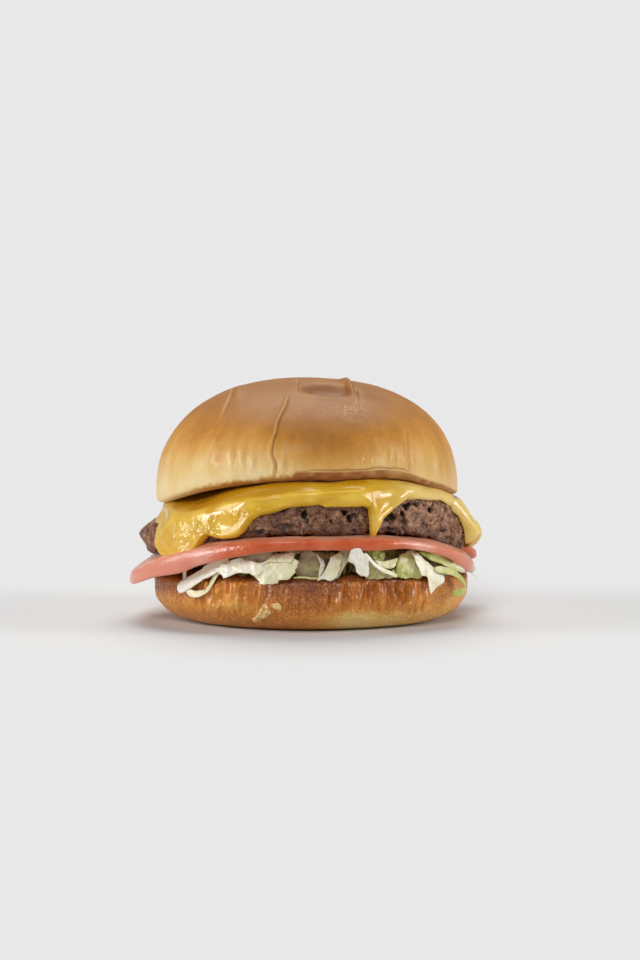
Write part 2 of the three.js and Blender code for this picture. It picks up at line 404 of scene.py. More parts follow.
# Creases in the skin, as (height, place across) seen from the front.
MAIN_CREASE = [(51.5, -10.0), (54.5, -9.6), (56.1, -9.6), (58.1, -10.6), (60.1, -10.8), (63.3, -10.3),
               (66.0, -9.3), (68.3, -9.0), (70.6, -8.0), (73.5, -6.3), (76.5, -5.4)]
LEFT_CREASE = [(69.5, -28.0), (70.8, -27.3), (72.7, -26.3), (75.7, -24.6), (80.5, -23.0)]
SHORT_CREASE = [(77.5, -2.3), (82.5, -2.6)]
RIGHT_CREASE = [(51.8, 34.0), (56, 33.7), (65.3, 33.4)]
# Each crease with its depth.
CREASES = [(MAIN_CREASE, 0.5), (LEFT_CREASE, 0.25), (SHORT_CREASE, 0.25), (RIGHT_CREASE, 0.25)]
# Upright folds low on the wall, as (place across, height, half width, half length, rise).
WALL_FOLDS = [(-30.0, 56.5, 1.2, 4.0, 0.25), (-24.4, 56.8, 1.3, 4.5, 0.45), (-20.8, 57.5, 0.9, 3.8, 0.4),
              (-17.2, 56.0, 0.8, 3.0, 0.35), (-7.4, 55.8, 0.8, 3.2, 0.3), (-4.0, 55.0, 0.8, 2.5, 0.2),
              (18.8, 56.8, 0.35, 1.6, 0.35), (21.7, 56.4, 0.5, 1.0, 0.2), (28.0, 56.6, 0.8, 2.2, 0.3),
              (30.6, 56.2, 0.6, 2.4, 0.3), (35.2, 54.6, 0.5, 2.6, 0.3), (43.5, 52.5, 0.8, 2.4, 0.25)]


def crease_offset(x, z, line):
    """Distance to the right of a crease, and how much the crease counts at that height."""
    heights, across = np.array(line).T
    middle = np.interp(z, heights, across)
    inside = between(heights[0] - 1, heights[0] + 2, heights[-1] - 2, heights[-1] + 1, z)
    return x - middle, inside


def crown_material():
    # Soft enriched bun, brushed with butter: a thin satin skin, deep gold on top where the oven's
    # heat reached it, and pale straw low on the sides.
    material, tree, place = new_material("buttered_bun_crust")
    mottle = add(tree, "TexNoise", {"Vector": place, "Scale": per_metre(12), "Detail": 3.0})
    fine = add(tree, "TexNoise", {"Vector": place, "Scale": per_metre(1.1), "Detail": 3.0})
    bake, crackle, gloss = (add(tree, "Attribute", attribute_name=name).outputs["Fac"]
                            for name in ("bake", "crackle", "gloss"))
    spread = varied(tree, varied(tree, bake, mottle, 0.22), fine, 0.12)
    crust = add(tree, "ValToRGB", {"Fac": spread}, stops=[
        (0.0, "f0dcae"), (1.0, "835428"), (0.2, "e8c786"), (0.45, "d7a357"), (0.7, "ba7e34")])
    # Painted light: a lighter tone on the crease lips and the tear's edge, and a dark tone of painted shade
    # in the creases, the tear, the dimple and the crack.
    crust = painted(tree, crust, {"toast": "90481e", "crease": "d9a862", "groove": "6b3a10"})
    # Below the right end of the dimple the skin has dried to a net of fine pale cracks.
    bend = add(tree, "TexNoise", {"Vector": place, "Scale": per_metre(1.6), "Detail": 2.0})
    bent = add(tree, "VectorMath", {0: bend.outputs["Color"], 1: (3 * MM, 3 * MM, 3 * MM), 2: place},
               operation="MULTIPLY_ADD")
    net = add(tree, "TexVoronoi", {"Vector": bent, "Scale": per_metre(2.3)}, feature="DISTANCE_TO_EDGE")
    cracks = add(tree, "MapRange", {"Value": net, "From Max": 0.1, "To Min": 0.45, "To Max": 0.0})
    cracks = add(tree, "Math", {0: cracks, 1: crackle}, operation="MULTIPLY")
    crust = add(tree, "Mix", {0: cracks, 6: crust, 7: linear("e6bf98")}, data_type="RGBA")
    height = add(tree, "Math", {0: cracks, 1: -0.9, 2: fine}, operation="MULTIPLY_ADD")
    bump = add(tree, "Bump", {"Strength": 0.3, "Distance": 0.0003, "Height": height})
    shine = add(tree, "MapRange", {"Value": gloss, "To Min": 0.45, "To Max": 0.21})
    skin_shader = add(tree, "BsdfPrincipled", {
        "Base Color": crust, "Roughness": shine, "IOR": 1.4, "Specular IOR Level": 0.21, "Normal": bump,
        "Subsurface Weight": 0.06, "Subsurface Radius": (1.0, 0.5, 0.2), "Subsurface Scale": 0.002})
    return covered(material, skin_shader)


def crown_rings(angle):
    """The crown's plain outer shape, and how high each point was before the crown drooped."""
    edge = oval(angle, CROWN_WIDTH, CROWN_DEPTH) + waves(angle, [(3, 0.35, 2.2), (4, 0.3, 0.4)])
    under = np.array([0, 0.3, 0.6, 0.85, 0.95])[:, None]
    wall = np.linspace(0, 1, 34)[:, None] ** 1.3
    dome = np.linspace(0, 0.5 * math.pi, 112)[1:, None]
    power = 2.17 - 0.25 * np.cos(angle)
    radius, height = stacked(
        (under * (edge - CROWN_CORNER), 0),
        (edge - CROWN_CORNER * (1 - wall) ** 2.2, CROWN_WALL * wall),
        (edge * np.cos(dome).clip(0) ** (2 / power),
         CROWN_WALL + (CROWN_HEIGHT - CROWN_WALL) * np.sin(dome) ** (2 / 2.35)))
    radius[-1] = 0
    x = CROWN_CENTRE_X + radius * np.cos(angle)
    y = radius * np.sin(angle)
    z = CROWN_UNDER + UPPER_RISE * (y - FRONT_Y) + height
    z = z - upper_droop(x) * (1 - 0.5 * height / CROWN_HEIGHT)
    bends = 0.7 * bell(x, 27, 8) - 1.2 * bell(x, 42, 6) - 1.9 * bell(x, 53, 6) - 1.9 * bell(x, -52, 7)
    return xyz(x, y, z + bends * (1 - ease(0, 14, height))), height


def crown_dimple(x, y):
    """The dimple on top, with a knot of torn skin at its right end and soft brims on its left."""
    away = np.hypot((x - 7.5) / 10.5, (y + 17) / 9.0)
    dimple = 1 - ease(0.3, 1.0, away)
    lean = x + 0.12 * (y + 12)
    knot = bell(lean, 15.2, 1.2) * bell(y, -5, 11)
    torn = bell(lean + 0.5 * noise(xyz(x, y, 0), 2, 25), 16.7, 0.45) * bell(y, -17, 5)
    brims = (bell(x, -22.5, 2.2) + 0.6 * bell(x, -27, 2.5)) * bell(y, -8, 12)
    push = -2.6 * dimple + 0.35 * bell(away, 1.15, 0.2) + 1.9 * knot - torn + brims
    return push, dimple, torn


def crown_creases(x, z):
    """Creases in the skin, each with a raised lip on the left and a furrow on the right, with a painted
    highlight on the lip and painted shade in the furrow.
    """
    push, painted_lip_highlight, grooves = 0, 0, 0
    for line, depth in CREASES:
        offset, inside = crease_offset(x, z, line)
        deep = depth * inside
        push = push + deep * (0.9 * bell(offset, -0.45, 0.4) - 0.9 * bell(offset, 0.3, 0.35))
        painted_lip_highlight = np.maximum(painted_lip_highlight, deep * bell(offset, -0.3, 0.32))
        grooves = np.maximum(grooves, deep * bell(offset, 0.35, 0.28))
    return push, painted_lip_highlight, grooves


def crown_folds(rings):
    """Upright folds low on the wall: their push and gloss, and a painted highlight on them with painted shade
    beside them.
    """
    x, z = rings[..., 0], rings[..., 2]
    wavering = x + 0.25 * noise(rings, 2.5, 17)
    push, gloss, painted_fold_light = 0, 0, 0
    for across, level, half_width, half_length, rise in WALL_FOLDS:
        along = bell(z, level, half_length)
        fold = bell(wavering, across, half_width) * along
        # The band beside each fold gets painted shade, and the fold itself gets a painted highlight.
        beside = bell(x, across + 1.6 * half_width, half_width) * along
        push = push + 1.1 * rise * fold
        gloss = gloss + 1.4 * fold
        painted_fold_light = painted_fold_light + rise * (0.3 * fold - 0.25 * beside)
    return push, gloss, painted_fold_light


def crown_bake(rings, flow, height):
    """How deep the crust's gold is: pale low on the wall, and deepest on top."""
    x, y, z = np.moveaxis(rings, -1, 0)
    bake = 0.10 + 0.80 * ease(2, 23, height + 1.5 * noise(flow, 9, 21) + 3.0 * bell(x, 8, 22))
    bake = bake + 0.16 * ease(-14, 10, x) * (1 - ease(6, 20, height))
    bake = bake - 0.09 * bell(x, -22, 9) * bell(height, 17, 6)
    # Above the low wall the crust is paler towards both ends; the bell round x = 8 in the first line makes it
    # darker round the middle.
    bake = bake - 0.10 * ease(20, 46, np.abs(x)) * ease(6, 14, height)
    return bake + 0.05 * rough_noise(xyz(x, y, 0.12 * z), 2.2, 23) * (1 - ease(14, 24, height))


def crown_lip(x, y, height, crack, rings):
    """The lip under the crack, and how far it is toasted, which is most from the middle on, with a painted
    highlight round x = 30 on the front.
    """
    ragged = 1.1 * rough_noise(rings, 2.2, 8) * (1 - ease(-4, 6, x))
    soft = 0.5 * (1 - ease(-10, 4, x))
    lip = 1 - ease(crack - 0.9 - soft, crack - 0.1 + soft, height + ragged)
    toast = lip * (0.22 + 0.7 * ease(-16, 3, x)) * (0.9 + 0.25 * noise(rings, 2.2, 9))
    toast = toast * ease(-44, -26, x) * (1 - 0.12 * ease(28, 38, x))
    # On the front the toast is weaker round x = 30, which paints a highlight on the lip.
    return lip, np.where(y < 0, toast * (1 - 0.35 * bell(x, 30, 4)), 0.6 * toast)


def make_crown():
    """The crown: its relief is worked out as a push outwards, and its colours as marks."""
    angle = front_dense(CROWN_SEGMENTS)[None, :]
    plain, height = crown_rings(angle)
    x, y, z = np.moveaxis(plain, -1, 0)
    flow = xyz(50 * np.cos(angle), 50 * np.sin(angle), 0.18 * z)
    front = np.where(y < 2, 1.0, 0.0)
    on_top = ease(0.6, 0.8, height / CROWN_HEIGHT)
    low_wall = between(2, 5, 8, 17, height)
    crack = 2.4 + 1.6 * ease(-16, 2, x) - 0.5 * ease(28, 40, x)
    in_crack = bell(height, crack + 0.25 * noise(plain, 2.0, 33), 0.22) * front
    in_crack = in_crack * between(-3, 6, 32, 36, x)

    top_push, dimple, torn = crown_dimple(x, y)
    crease_push, crease, groove = crown_creases(x, z)
    fold_push, gloss, painted_fold_light = crown_folds(plain)
    push = top_push * on_top + (crease_push + fold_push) * front
    push = push + 0.45 * bell(height, 1.9, 1.3) - 0.45 * in_crack
    push = push + low_wall * (0.08 + 0.14 * (1 - front)) * rough_noise(flow, 3.2, 11)
    push = push + 0.30 * noise(plain, 18, 3) + 0.05 * noise(plain, 2.5, 4)
    rings = pushed(plain, push)

    # The crease lips and the tear's edge get a painted highlight; the creases, the tear, the dimple and the
    # crack get painted shade.
    crease = np.maximum(crease * front, 0.5 * torn * on_top)
    groove = np.maximum(groove * front, 0.85 * torn * on_top)
    groove = np.maximum(groove, 0.5 * ease(0.0, 0.35, dimple * on_top)) + 0.55 * in_crack
    lip, toast = crown_lip(x, y, height, crack, rings)
    # The lip is golden at the left of the front.
    golden = 0.42 * lip * (1 - ease(-14, 4, x)) * ease(-48, -26, x) * front
    crackle = bell(x, 15.5, 5) * bell(z, 73, 3) * ease(20, 26, -y) * ease(-0.4, 0.3, noise(rings, 3, 24))
    shape = skin(
        rings, bake=crown_bake(plain, flow, height) - painted_fold_light * front + golden, toast=np.clip(toast, 0, 1),
        crease=np.clip(crease * 1.3, 0, 1), groove=np.clip(groove, 0, 1), crackle=crackle,
        gloss=np.clip(gloss * front + 0.6 * low_wall, 0, 1))
    make_piece("crown_crust", shape, crown_material(), ["crown_bun"])


# --- Heel -------------------------------------------------------------------------------------

HEEL_WIDTH, HEEL_DEPTH, HEEL_CENTRE_X = 106.4, 101, 2.0
HEEL_SEGMENTS = 860
# How far its round lower and upper edges reach in from the wall, and how high they are.
HEEL_FOOT_IN, HEEL_FOOT_UP = 13, 12
HEEL_BRIM_IN, HEEL_BRIM_DOWN = 2.8, 2.6
# Where the upright wrinkles are deep along the front, as (place across, half width, depth).
WRINKLED = [(-27, 8, 1.0), (-18, 4, 0.8), (12, 8, 0.5), (27, 9, 1.0), (37, 4, 0.9)]
# Cracks down the wall, as (place across at the top, lean, depth).
HEEL_CRACKS = [(7.5, -0.9, 0.7), (19.2, 1.2, 0.8), (-15.6, 0.5, 0.8), (-29.5, 0.8, 0.4), (31.5, -0.4, 0.5)]


def heel_press(x):
    """The heel is a little lower towards its ends."""
    return 1 - 0.12 * ((x - HEEL_CENTRE_X) / (HEEL_WIDTH / 2)) ** 2


def heel_material():
    # Base of the same bun, baked on a greased tray: red-brown, finely grained and wrinkled.
    material, tree, place = new_material("tray_baked_bun_crust")
    mottle = add(tree, "TexNoise", {"Vector": place, "Scale": per_metre(5), "Detail": 5.0})
    grain = add(tree, "TexNoise", {"Vector": place, "Scale": per_metre(0.75), "Detail": 3.0})
    bake, gloss = (add(tree, "Attribute", attribute_name=name).outputs["Fac"] for name in ("bake", "gloss"))
    # The grain shows where the crust is dull, and fades where it is stretched and glossy.
    dull = add(tree, "MapRange", {"Value": gloss, "To Min": 1.15, "To Max": 0.6})
    shown_grain = varied(tree, 0.0, grain, dull)
    spread = varied(tree, shown_grain, mottle, 0.32)
    spread = add(tree, "Math", {0: spread, 1: bake}, operation="ADD")
    crust = add(tree, "ValToRGB", {"Fac": spread}, stops=[
        (0.0, "f4cf80"), (1.0, "76401e"), (0.25, "eaa84e"), (0.5, "d98a38"), (0.75, "ae6429")])
    bump = add(tree, "Bump", {"Strength": 0.4, "Distance": 0.0004, "Height": shown_grain})
    shine = add(tree, "MapRange", {"Value": gloss, "To Min": 0.42, "To Max": 0.14})
    skin_shader = add(tree, "BsdfPrincipled", {
        "Base Color": crust, "Roughness": shine, "IOR": 1.45, "Normal": bump,
        "Subsurface Weight": 0.05, "Subsurface Radius": (1.0, 0.5, 0.2), "Subsurface Scale": 0.002})
    return covered(material, skin_shader)


def heel_rings(angle, edge):
    """The heel's plain outer shape, with the radius and unpressed height of each point."""
    base = np.array([0, 0.35, 0.7, 0.9])[:, None]
    low = np.linspace(0, 0.5 * math.pi, 50)[:, None]
    wall = np.linspace(HEEL_FOOT_UP, HEEL_HEIGHT - HEEL_BRIM_DOWN, 14)[1:, None]
    high = np.linspace(0, 0.5 * math.pi, 20)[1:, None]
    top = np.array([0.92, 0.8, 0.6, 0.3, 0])[:, None]
    radius, height = stacked(
        (base * (edge - HEEL_FOOT_IN), 0),
        (edge - HEEL_FOOT_IN * (1 - np.sin(low)), HEEL_FOOT_UP * (1 - np.cos(low))),
        (edge, wall),
        (edge - HEEL_BRIM_IN * (1 - np.cos(high)), HEEL_HEIGHT - HEEL_BRIM_DOWN * (1 - np.sin(high))),
        (top * (edge - HEEL_BRIM_IN), HEEL_HEIGHT - 0.6 * (1 - top)))
    x = HEEL_CENTRE_X + radius * np.cos(angle)
    return xyz(x, radius * np.sin(angle), height * heel_press(x)), radius, height


def heel_wrinkles(x, flow, height, in_front):
    """Where the wall is wrinkled, and its upright folds."""
    placed = sum(depth * bell(x, across, half) for across, half, depth in WRINKLED)
    patchy = 0.1 + placed * in_front + 0.9 * ease(-0.1, 0.5, noise(flow, 16, 5)) * (1 - in_front)
    wrinkled = ease(4.5, 10, height + 1.5 * noise(flow, 5, 16)) * (1 - ease(16.0, 17.8, height))
    folds = np.clip(1 - np.abs(rough_noise(flow, 2.3, 31, 2)), 0, 1) ** 2.5
    return wrinkled * patchy, folds


def heel_bake(x, flow, height, inwards, in_front):
    """How brown the crust is: palest at the right of the foot and on the cut top, and paler left of the
    middle where a sheen is painted.
    """
    bake = 0.42 + 0.26 * ease(7, 15, height) + 0.2 * ease(16.2, 17.8, height) + 0.10 * noise(flow, 7, 41)
    bake = bake - 0.38 * ease(0.5, 2, inwards) * ease(15, 17, height)
    bake = bake - 0.5 * bell(x, 20, 19) * in_front * (1 - ease(4.5, 8.5, height + noise(flow, 4, 42)))
    bake = bake - 0.13 * in_front * ease(28, 44, x) + 0.18 * bell(x, 2, 14) * in_front
    # Paler left of the middle on the wrinkled wall: a painted sheen.
    return bake - 0.22 * bell(x, -25, 10) * in_front * ease(5, 9, height)


def make_heel():
    """The heel, with upright wrinkles and cracks along its wall."""
    angle = front_dense(HEEL_SEGMENTS)[None, :]
    edge = oval(angle, HEEL_WIDTH, HEEL_DEPTH) + waves(angle, [(3, 0.4, 1), (5, 0.3, 2)])
    plain, radius, height = heel_rings(angle, edge)
    x = plain[..., 0]
    in_front = ease(0.1, 0.3, -np.sin(angle))
    flow = xyz(50 * np.cos(angle), 50 * np.sin(angle), 0.16 * height)
    flow = flow + 0.5 * noise(plain, 3.5, 15)[..., None]
    wrinkled, folds = heel_wrinkles(x, flow, height, in_front)
    push = wrinkled * (2.1 * folds - 0.8 + 0.9 * rough_noise(flow, 0.9, 34, 2)) + 0.3 * noise(plain, 13, 7)
    for across, lean, depth in HEEL_CRACKS:
        middle = across + lean * (height - 14) / 6 + 0.4 * noise(plain, 3, 19)
        crack = bell(x, middle, 0.35) * in_front * between(6, 9, 15, 17.5, height)
        push = push - depth * crack
    push = push + 0.13 * rough_noise(plain, 1.3, 9, 2) * ease(0.5, 3, height)
    # The fold ridges are a little paler: a painted highlight.
    bake = heel_bake(x, flow, height, edge - HEEL_BRIM_IN - radius, in_front) - 0.1 * wrinkled * folds
    shape = skin(pushed(plain, push * ease(0.0, 1.5, height)), bake=bake, gloss=np.clip(wrinkled * 1.2, 0, 1))
    make_piece("heel_crust", shape, heel_material(), ["heel_bun"])


# Crumbs stuck to the front of the heel, as outlines of (place across, height).
CRUMBS = [
    [(-12.6, 10.2), (-11.6, 8.6), (-10.9, 7.0), (-12.6, 5.3), (-13.9, 4.9), (-15.9, 3.5), (-16.9, 4.4),
     (-15.9, 5.8), (-14.6, 7.2), (-13.9, 8.8)],
    [(-10.6, 9.9), (-9.0, 10.3), (-7.7, 9.0), (-8.0, 8.0), (-9.6, 8.6)]]


def crumb_material():
    # Torn inside of the bun: dry, porous and straw-coloured, with no gloss.
    material, tree, place = new_material("torn_bun_crumb")
    pores = add(tree, "TexNoise", {"Vector": place, "Scale": per_metre(1.2), "Detail": 4.0})
    tone = add(tree, "ValToRGB", {"Fac": pores}, stops=[(0.3, "d8a55c"), (0.7, "ffeab0")])
    bump = add(tree, "Bump", {"Strength": 0.6, "Distance": 0.0004, "Height": pores})
    crumb = add(tree, "BsdfPrincipled", {
        "Base Color": tone, "Roughness": 0.75, "Normal": bump, "Specular IOR Level": 0.2})
    return covered(material, crumb)


def crust_crumb(outline, seed):
    """A lumpy crumb inside its outline, lying on the heel's wall."""
    edge = smooth_curve(outline, 70, True)[::-1]
    middle = 0.5 * (edge.min(axis=0) + edge.max(axis=0))
    share = np.sin(np.linspace(0, 0.5 * math.pi, 16))[:, None]
    flat = middle + share[..., None] * (edge - middle)
    across, height = flat[..., 0], flat[..., 1]
    sideways = (across - HEEL_CENTRE_X) / (HEEL_WIDTH / 2)
    low = np.clip(HEEL_FOOT_UP - height, 0, HEEL_FOOT_UP) / HEEL_FOOT_UP
    reach = HEEL_DEPTH / 2 - HEEL_FOOT_IN * (1 - np.sqrt(1 - low ** 2))
    wall = -reach * np.sqrt(1 - sideways ** 2)
    half = 0.9 * np.sqrt(1 - share ** 4)
    rings = two_faced(xyz(across, wall - half - 0.2, height), xyz(across, wall + half, height), edge)
    return skin(pushed(rings, 0.5 * rough_noise(rings, 1.1, 90 + seed, 3)))


def make_crumbs():
    """The two crumbs of bread that stick to the heel."""
    crumbs = [crust_crumb(outline, seed) for seed, outline in enumerate(CRUMBS)]
    make_piece("bun_crumbs", join(crumbs), crumb_material())


# --- Patty ------------------------------------------------------------------------------------

PATTY_WIDTH, PATTY_DEPTH = 104, 100
# How round its upper and lower edges are.
PATTY_SHOULDER, PATTY_FOOT = 4.0, 1.7
PATTY_SEGMENTS = 700
# Places where the edge stands out or in: (angle, width, size), angles and widths in degrees.
PATTY_PLACES = [(354, 13, 2.0), (29, 22, -6.5), (180, 16, -1.5)]
# A broken chunk at the left: its middle and width in degrees, and how far it stands out by height.
CHUNK_ANGLE, CHUNK_WIDTH = 178, 12
CHUNK_FACETS = [(-14, -1.5), (-12.5, 1.3), (-10.2, 3.6), (-8.0, 4.6), (-5.5, 6.0), (-3.4, 6.8),
                (-2.0, 3.4), (-0.8, 0)]
# Deep gaps between the crumbs along the front, as (across, height, half width, half height, depth).
PATTY_GAPS = [(-14.5, 39.6, 0.9, 0.8, 0.8), (0.2, 39.4, 0.8, 1.6, 1.2), (1.0, 36.5, 0.5, 1.0, 0.7),
              (13.4, 40.2, 1.1, 1.0, 1.2), (14.6, 37.8, 0.8, 1.3, 1.4), (8.5, 36.4, 0.5, 1.2, 0.7),
              (28.5, 37.6, 1.3, 0.9, 1.0), (32.2, 38.8, 1.5, 0.8, 1.3), (34.2, 41.0, 1.5, 0.6, 1.2),
              (37.2, 41.0, 0.9, 0.7, 0.9), (42.6, 39.8, 0.9, 0.9, 1.2), (39.2, 34.0, 0.6, 0.6, 0.7)]


def patty_radius(angle):
    """The patty's uneven edge, seen from above."""
    edge = oval(angle, PATTY_WIDTH, PATTY_DEPTH)
    edge = edge + waves(angle, [(3, 0.5, 0.5), (6, 0.5, 1.1), (11, 0.45, 2.3), (17, 0.35, 0.9)])
    for centre, width, size in PATTY_PLACES:
        edge = edge + size * turned_bell(angle, centre, width)
    return edge


def patty_top(x, y):
    """The height of the patty's top face, which droops no further at its very end on the right."""
    return PATTY_TOP + upper_level(np.minimum(x, 50.8), y)


def on_patty(radius, angle, height):
    """Points at heights measured from the patty's top face."""
    x, y = radius * np.cos(angle), radius * np.sin(angle)
    return xyz(x, y, patty_top(x, y) + height)


def patty_material():
    # Seared ground beef: grey-brown coarse crumbs, moist with fat, with painted shade dark in its cracks.
    material, tree, place = new_material("seared_ground_beef")
    mottle = add(tree, "TexNoise", {"Vector": place, "Scale": per_metre(2.2), "Detail": 6.0})
    fine = add(tree, "TexNoise", {"Vector": place, "Scale": per_metre(0.7), "Detail": 4.0})
    mixed = add(tree, "Math", {0: fine, 1: 0.35, 2: mottle}, operation="MULTIPLY_ADD")
    flesh = add(tree, "ValToRGB", {"Fac": mixed}, stops=[
        (0.48, "4a2512"), (0.88, "cca07e"), (0.61, "805030"), (0.73, "a87650")])
    # The crack tone is painted shade in the pits, seams and gaps between the crumbs, and also darkens the
    # chunk.
    flesh = painted(tree, flesh, {"juice": "4a1e0c", "crack": "1c0d07"})
    bump = add(tree, "Bump", {"Strength": 0.65, "Distance": 0.0005, "Height": fine})
    shine = add(tree, "MapRange", {
        "Value": mottle, "From Min": 0.35, "From Max": 0.65, "To Min": 0.1, "To Max": 0.44})
    crack = add(tree, "Attribute", attribute_name="crack").outputs["Fac"]
    dry = add(tree, "Math", {0: crack, 1: 0.7, 2: shine}, operation="MULTIPLY_ADD")
    meat = add(tree, "BsdfPrincipled", {
        "Base Color": flesh, "Roughness": dry, "IOR": 1.42, "Normal": bump,
        "Subsurface Weight": 0.05, "Subsurface Radius": (1.0, 0.3, 0.15), "Subsurface Scale": 0.001})
    return covered(material, meat)


def crumb_tree(material):
    """Small lumps scattered over the outer wall of a skin, half sunk in it."""
    tree, given, spots = scatter_tree("beef_crumbs", ["Crumbs per square metre", "Smallest", "Largest"], 4)
    lump = add(tree, "GeometryNodeMeshUVSphere", {"Segments": 7, "Rings": 4, "Radius": 1.0})
    rough = add(tree, "TexNoise", {"Scale": 1.1, "Detail": 1.0})
    centred = add(tree, "Math", {0: rough, 1: 2.5, 2: -1.25}, operation="MULTIPLY_ADD")
    where = add(tree, "GeometryNodeInputPosition")
    outwards = add(tree, "VectorMath", {0: where, "Scale": centred}, operation="SCALE")
    lumpy = add(tree, "GeometryNodeSetPosition", {"Geometry": lump, "Offset": outwards})
    turn = add(tree, "FunctionNodeRandomValue", {0: (0, 0, 0), 1: (TURN, TURN, TURN), "Seed": 5},
               data_type="FLOAT_VECTOR")
    size = add(tree, "FunctionNodeRandomValue", {
        0: given.outputs["Smallest"], 1: given.outputs["Largest"], "Seed": 6}, data_type="FLOAT_VECTOR")
    placed = add(tree, "GeometryNodeInstanceOnPoints", {
        "Points": spots.outputs["Points"], "Instance": lumpy, "Rotation": turn.outputs[0],
        "Scale": size.outputs[0]})
    return end_tree(tree, placed, material)


def patty_rings(angle, edge):
    """The patty's plain outer shape, with the height and share of its radius at each point."""
    under = np.array([0, 0.4, 0.75, 0.95])[:, None]
    low = np.linspace(0, 0.5 * math.pi, 16)[:, None]
    wall = np.linspace(-PATTY_THICKNESS + PATTY_FOOT, -PATTY_SHOULDER, 48)[1:, None]
    high = np.linspace(0, 0.5 * math.pi, 18)[1:, None]
    top = np.array([0.95, 0.8, 0.55, 0.3, 0])[:, None]
    radius, height = stacked(
        (under * (edge - PATTY_FOOT), -PATTY_THICKNESS),
        (edge - PATTY_FOOT * (1 - np.sin(low)), -PATTY_THICKNESS + PATTY_FOOT * (1 - np.cos(low))),
        (edge, wall),
        (edge - PATTY_SHOULDER * (1 - np.cos(high)), -PATTY_SHOULDER * (1 - np.sin(high))),
        (top * (edge - PATTY_SHOULDER), 0))
    facets = np.interp(height, *np.array(CHUNK_FACETS).T)
    chunk = turned_bell(angle, CHUNK_ANGLE, CHUNK_WIDTH) * facets
    radius = radius + chunk * ease(0.8, 0.95, radius / edge)
    # The underside sags on to the slice below it, most at the right.
    sag = 0.95 + 0.8 * ease(30, 48, radius * np.cos(angle))
    sagged = height - sag * (1 - ease(-PATTY_THICKNESS, -4, height))
    return on_patty(radius, angle, sagged), height, radius / edge


def patty_gaps(swirled, rings):
    """How deep each point lies in the gaps between the crumbs along the front."""
    frayed = 0.35 * rough_noise(rings, 1.1, 66, 2)
    gaps = 0
    for across, level, half_width, half_height, depth in PATTY_GAPS:
        away = np.hypot((swirled[..., 0] - across) / half_width, (swirled[..., 2] - level) / half_height)
        gaps = gaps + depth * np.exp(-np.clip(away + frayed, 0, None) ** 4) * (rings[..., 1] < 0)
    return gaps


def make_patty():
    """The patty: coarse grains with seams, pits and gaps between them, and loose crumbs on top."""
    angle = front_dense(PATTY_SEGMENTS)[None, :]
    plain, height, share = patty_rings(angle, patty_radius(angle))
    swirled = plain + 1.1 * xyz(*(noise(plain, 2.6, seed) for seed in (61, 62, 63)))
    nearest, second = grains(swirled, 3.2, 5)
    small_nearest, small_second = grains(swirled, 1.4, 15)
    seam = 1 - ease(0.0, 0.25, second - nearest)
    small_seam = 1 - ease(0.0, 0.3, small_second - small_nearest)
    pits = ease(0.45, 0.75, noise(swirled, 2.4, 6))
    gaps = patty_gaps(swirled, plain)
    push = 0.7 * (0.5 - nearest) + 0.45 * (0.5 - small_nearest) - 0.7 * pits - 1.3 * gaps
    push = push + 0.5 * noise(plain, 9, 7) + 0.12 * rough_noise(plain, 0.9, 8, 2)
    on_chunk = turned_bell(angle, CHUNK_ANGLE, CHUNK_WIDTH)
    rings = sunk(pushed(plain, push * ease(0.8, 0.93, share) * (1 - 0.6 * on_chunk)))
    # Painted shade in the pits, seams and gaps, and a darker chunk; the same mark makes these places drier.
    crack = np.clip(0.7 * pits + 0.15 * seam + 0.2 * small_seam + 1.1 * gaps + 0.22 * on_chunk, 0, 1)
    juice = 1 - ease(-PATTY_THICKNESS + 1, -PATTY_THICKNESS + 5, height + 1.2 * noise(rings, 6, 8))
    # The meat is also darker across the middle of the front.
    juice = np.maximum(0.7 * juice, 0.35 * bell(rings[..., 0], -2, 22))
    # No loose crumbs lie in the gaps or on the chunk.
    bare = (gaps > 0.2) | (on_chunk > 0.4)
    shape = skin(rings, crack=crack, juice=juice, outer=ease(0.9, 0.97, share) * (1 - bare))
    material = patty_material()
    make_piece("patty_meat", shape, material, ["patty"])
    grow("patty_crumbs", shape, crumb_tree(material), {
        "Crumbs per square metre": 80000.0, "Smallest": 0.25 * MM, "Largest": 1.0 * MM}, material)


# --- Cheese -----------------------------------------------------------------------------------

CHEESE_THICKNESS, CHEESE_GAP = 2.1, 0.35
CHEESE_SEGMENTS = 920
# The melted edge along the front, as (place across, height of the edge).
CHEESE_FRONT_EDGE = [
    (-52, 33), (-50.2, 31), (-48.6, 28.6), (-46.8, 25.2), (-44.9, 23.6), (-42.3, 23.1), (-38.2, 24.8),
    (-35.5, 27.0), (-33.6, 30.2), (-32.0, 32.0), (-29.5, 31.0), (-27.1, 30.8), (-22.7, 31.6), (-20.1, 33.6),
    (-18.6, 35.7), (-17.1, 37.6), (-14.7, 39.0), (-10, 39.9), (-4.7, 41.6), (5.1, 42.6), (7.0, 41.8),
    (19.8, 41.9), (21.4, 41.0), (21.9, 37.0), (22.1, 33.0), (22.4, 30.4), (23.4, 31.8), (24.9, 34.6),
    (26.4, 37.4), (28.8, 39.2), (31.8, 41.6), (34.8, 42.9), (39.2, 42.7), (45.5, 41.2), (50.4, 39.9),
    (53.2, 38.0), (54.6, 35.0), (55.4, 30), (55.8, 24)]
# Corners of the slice elsewhere: (angle, width, extra hang), angles and widths in degrees.
CHEESE_CORNERS = [(7, 15, 12.6), (108, 22, 6.0), (178, 20, -1.0)]


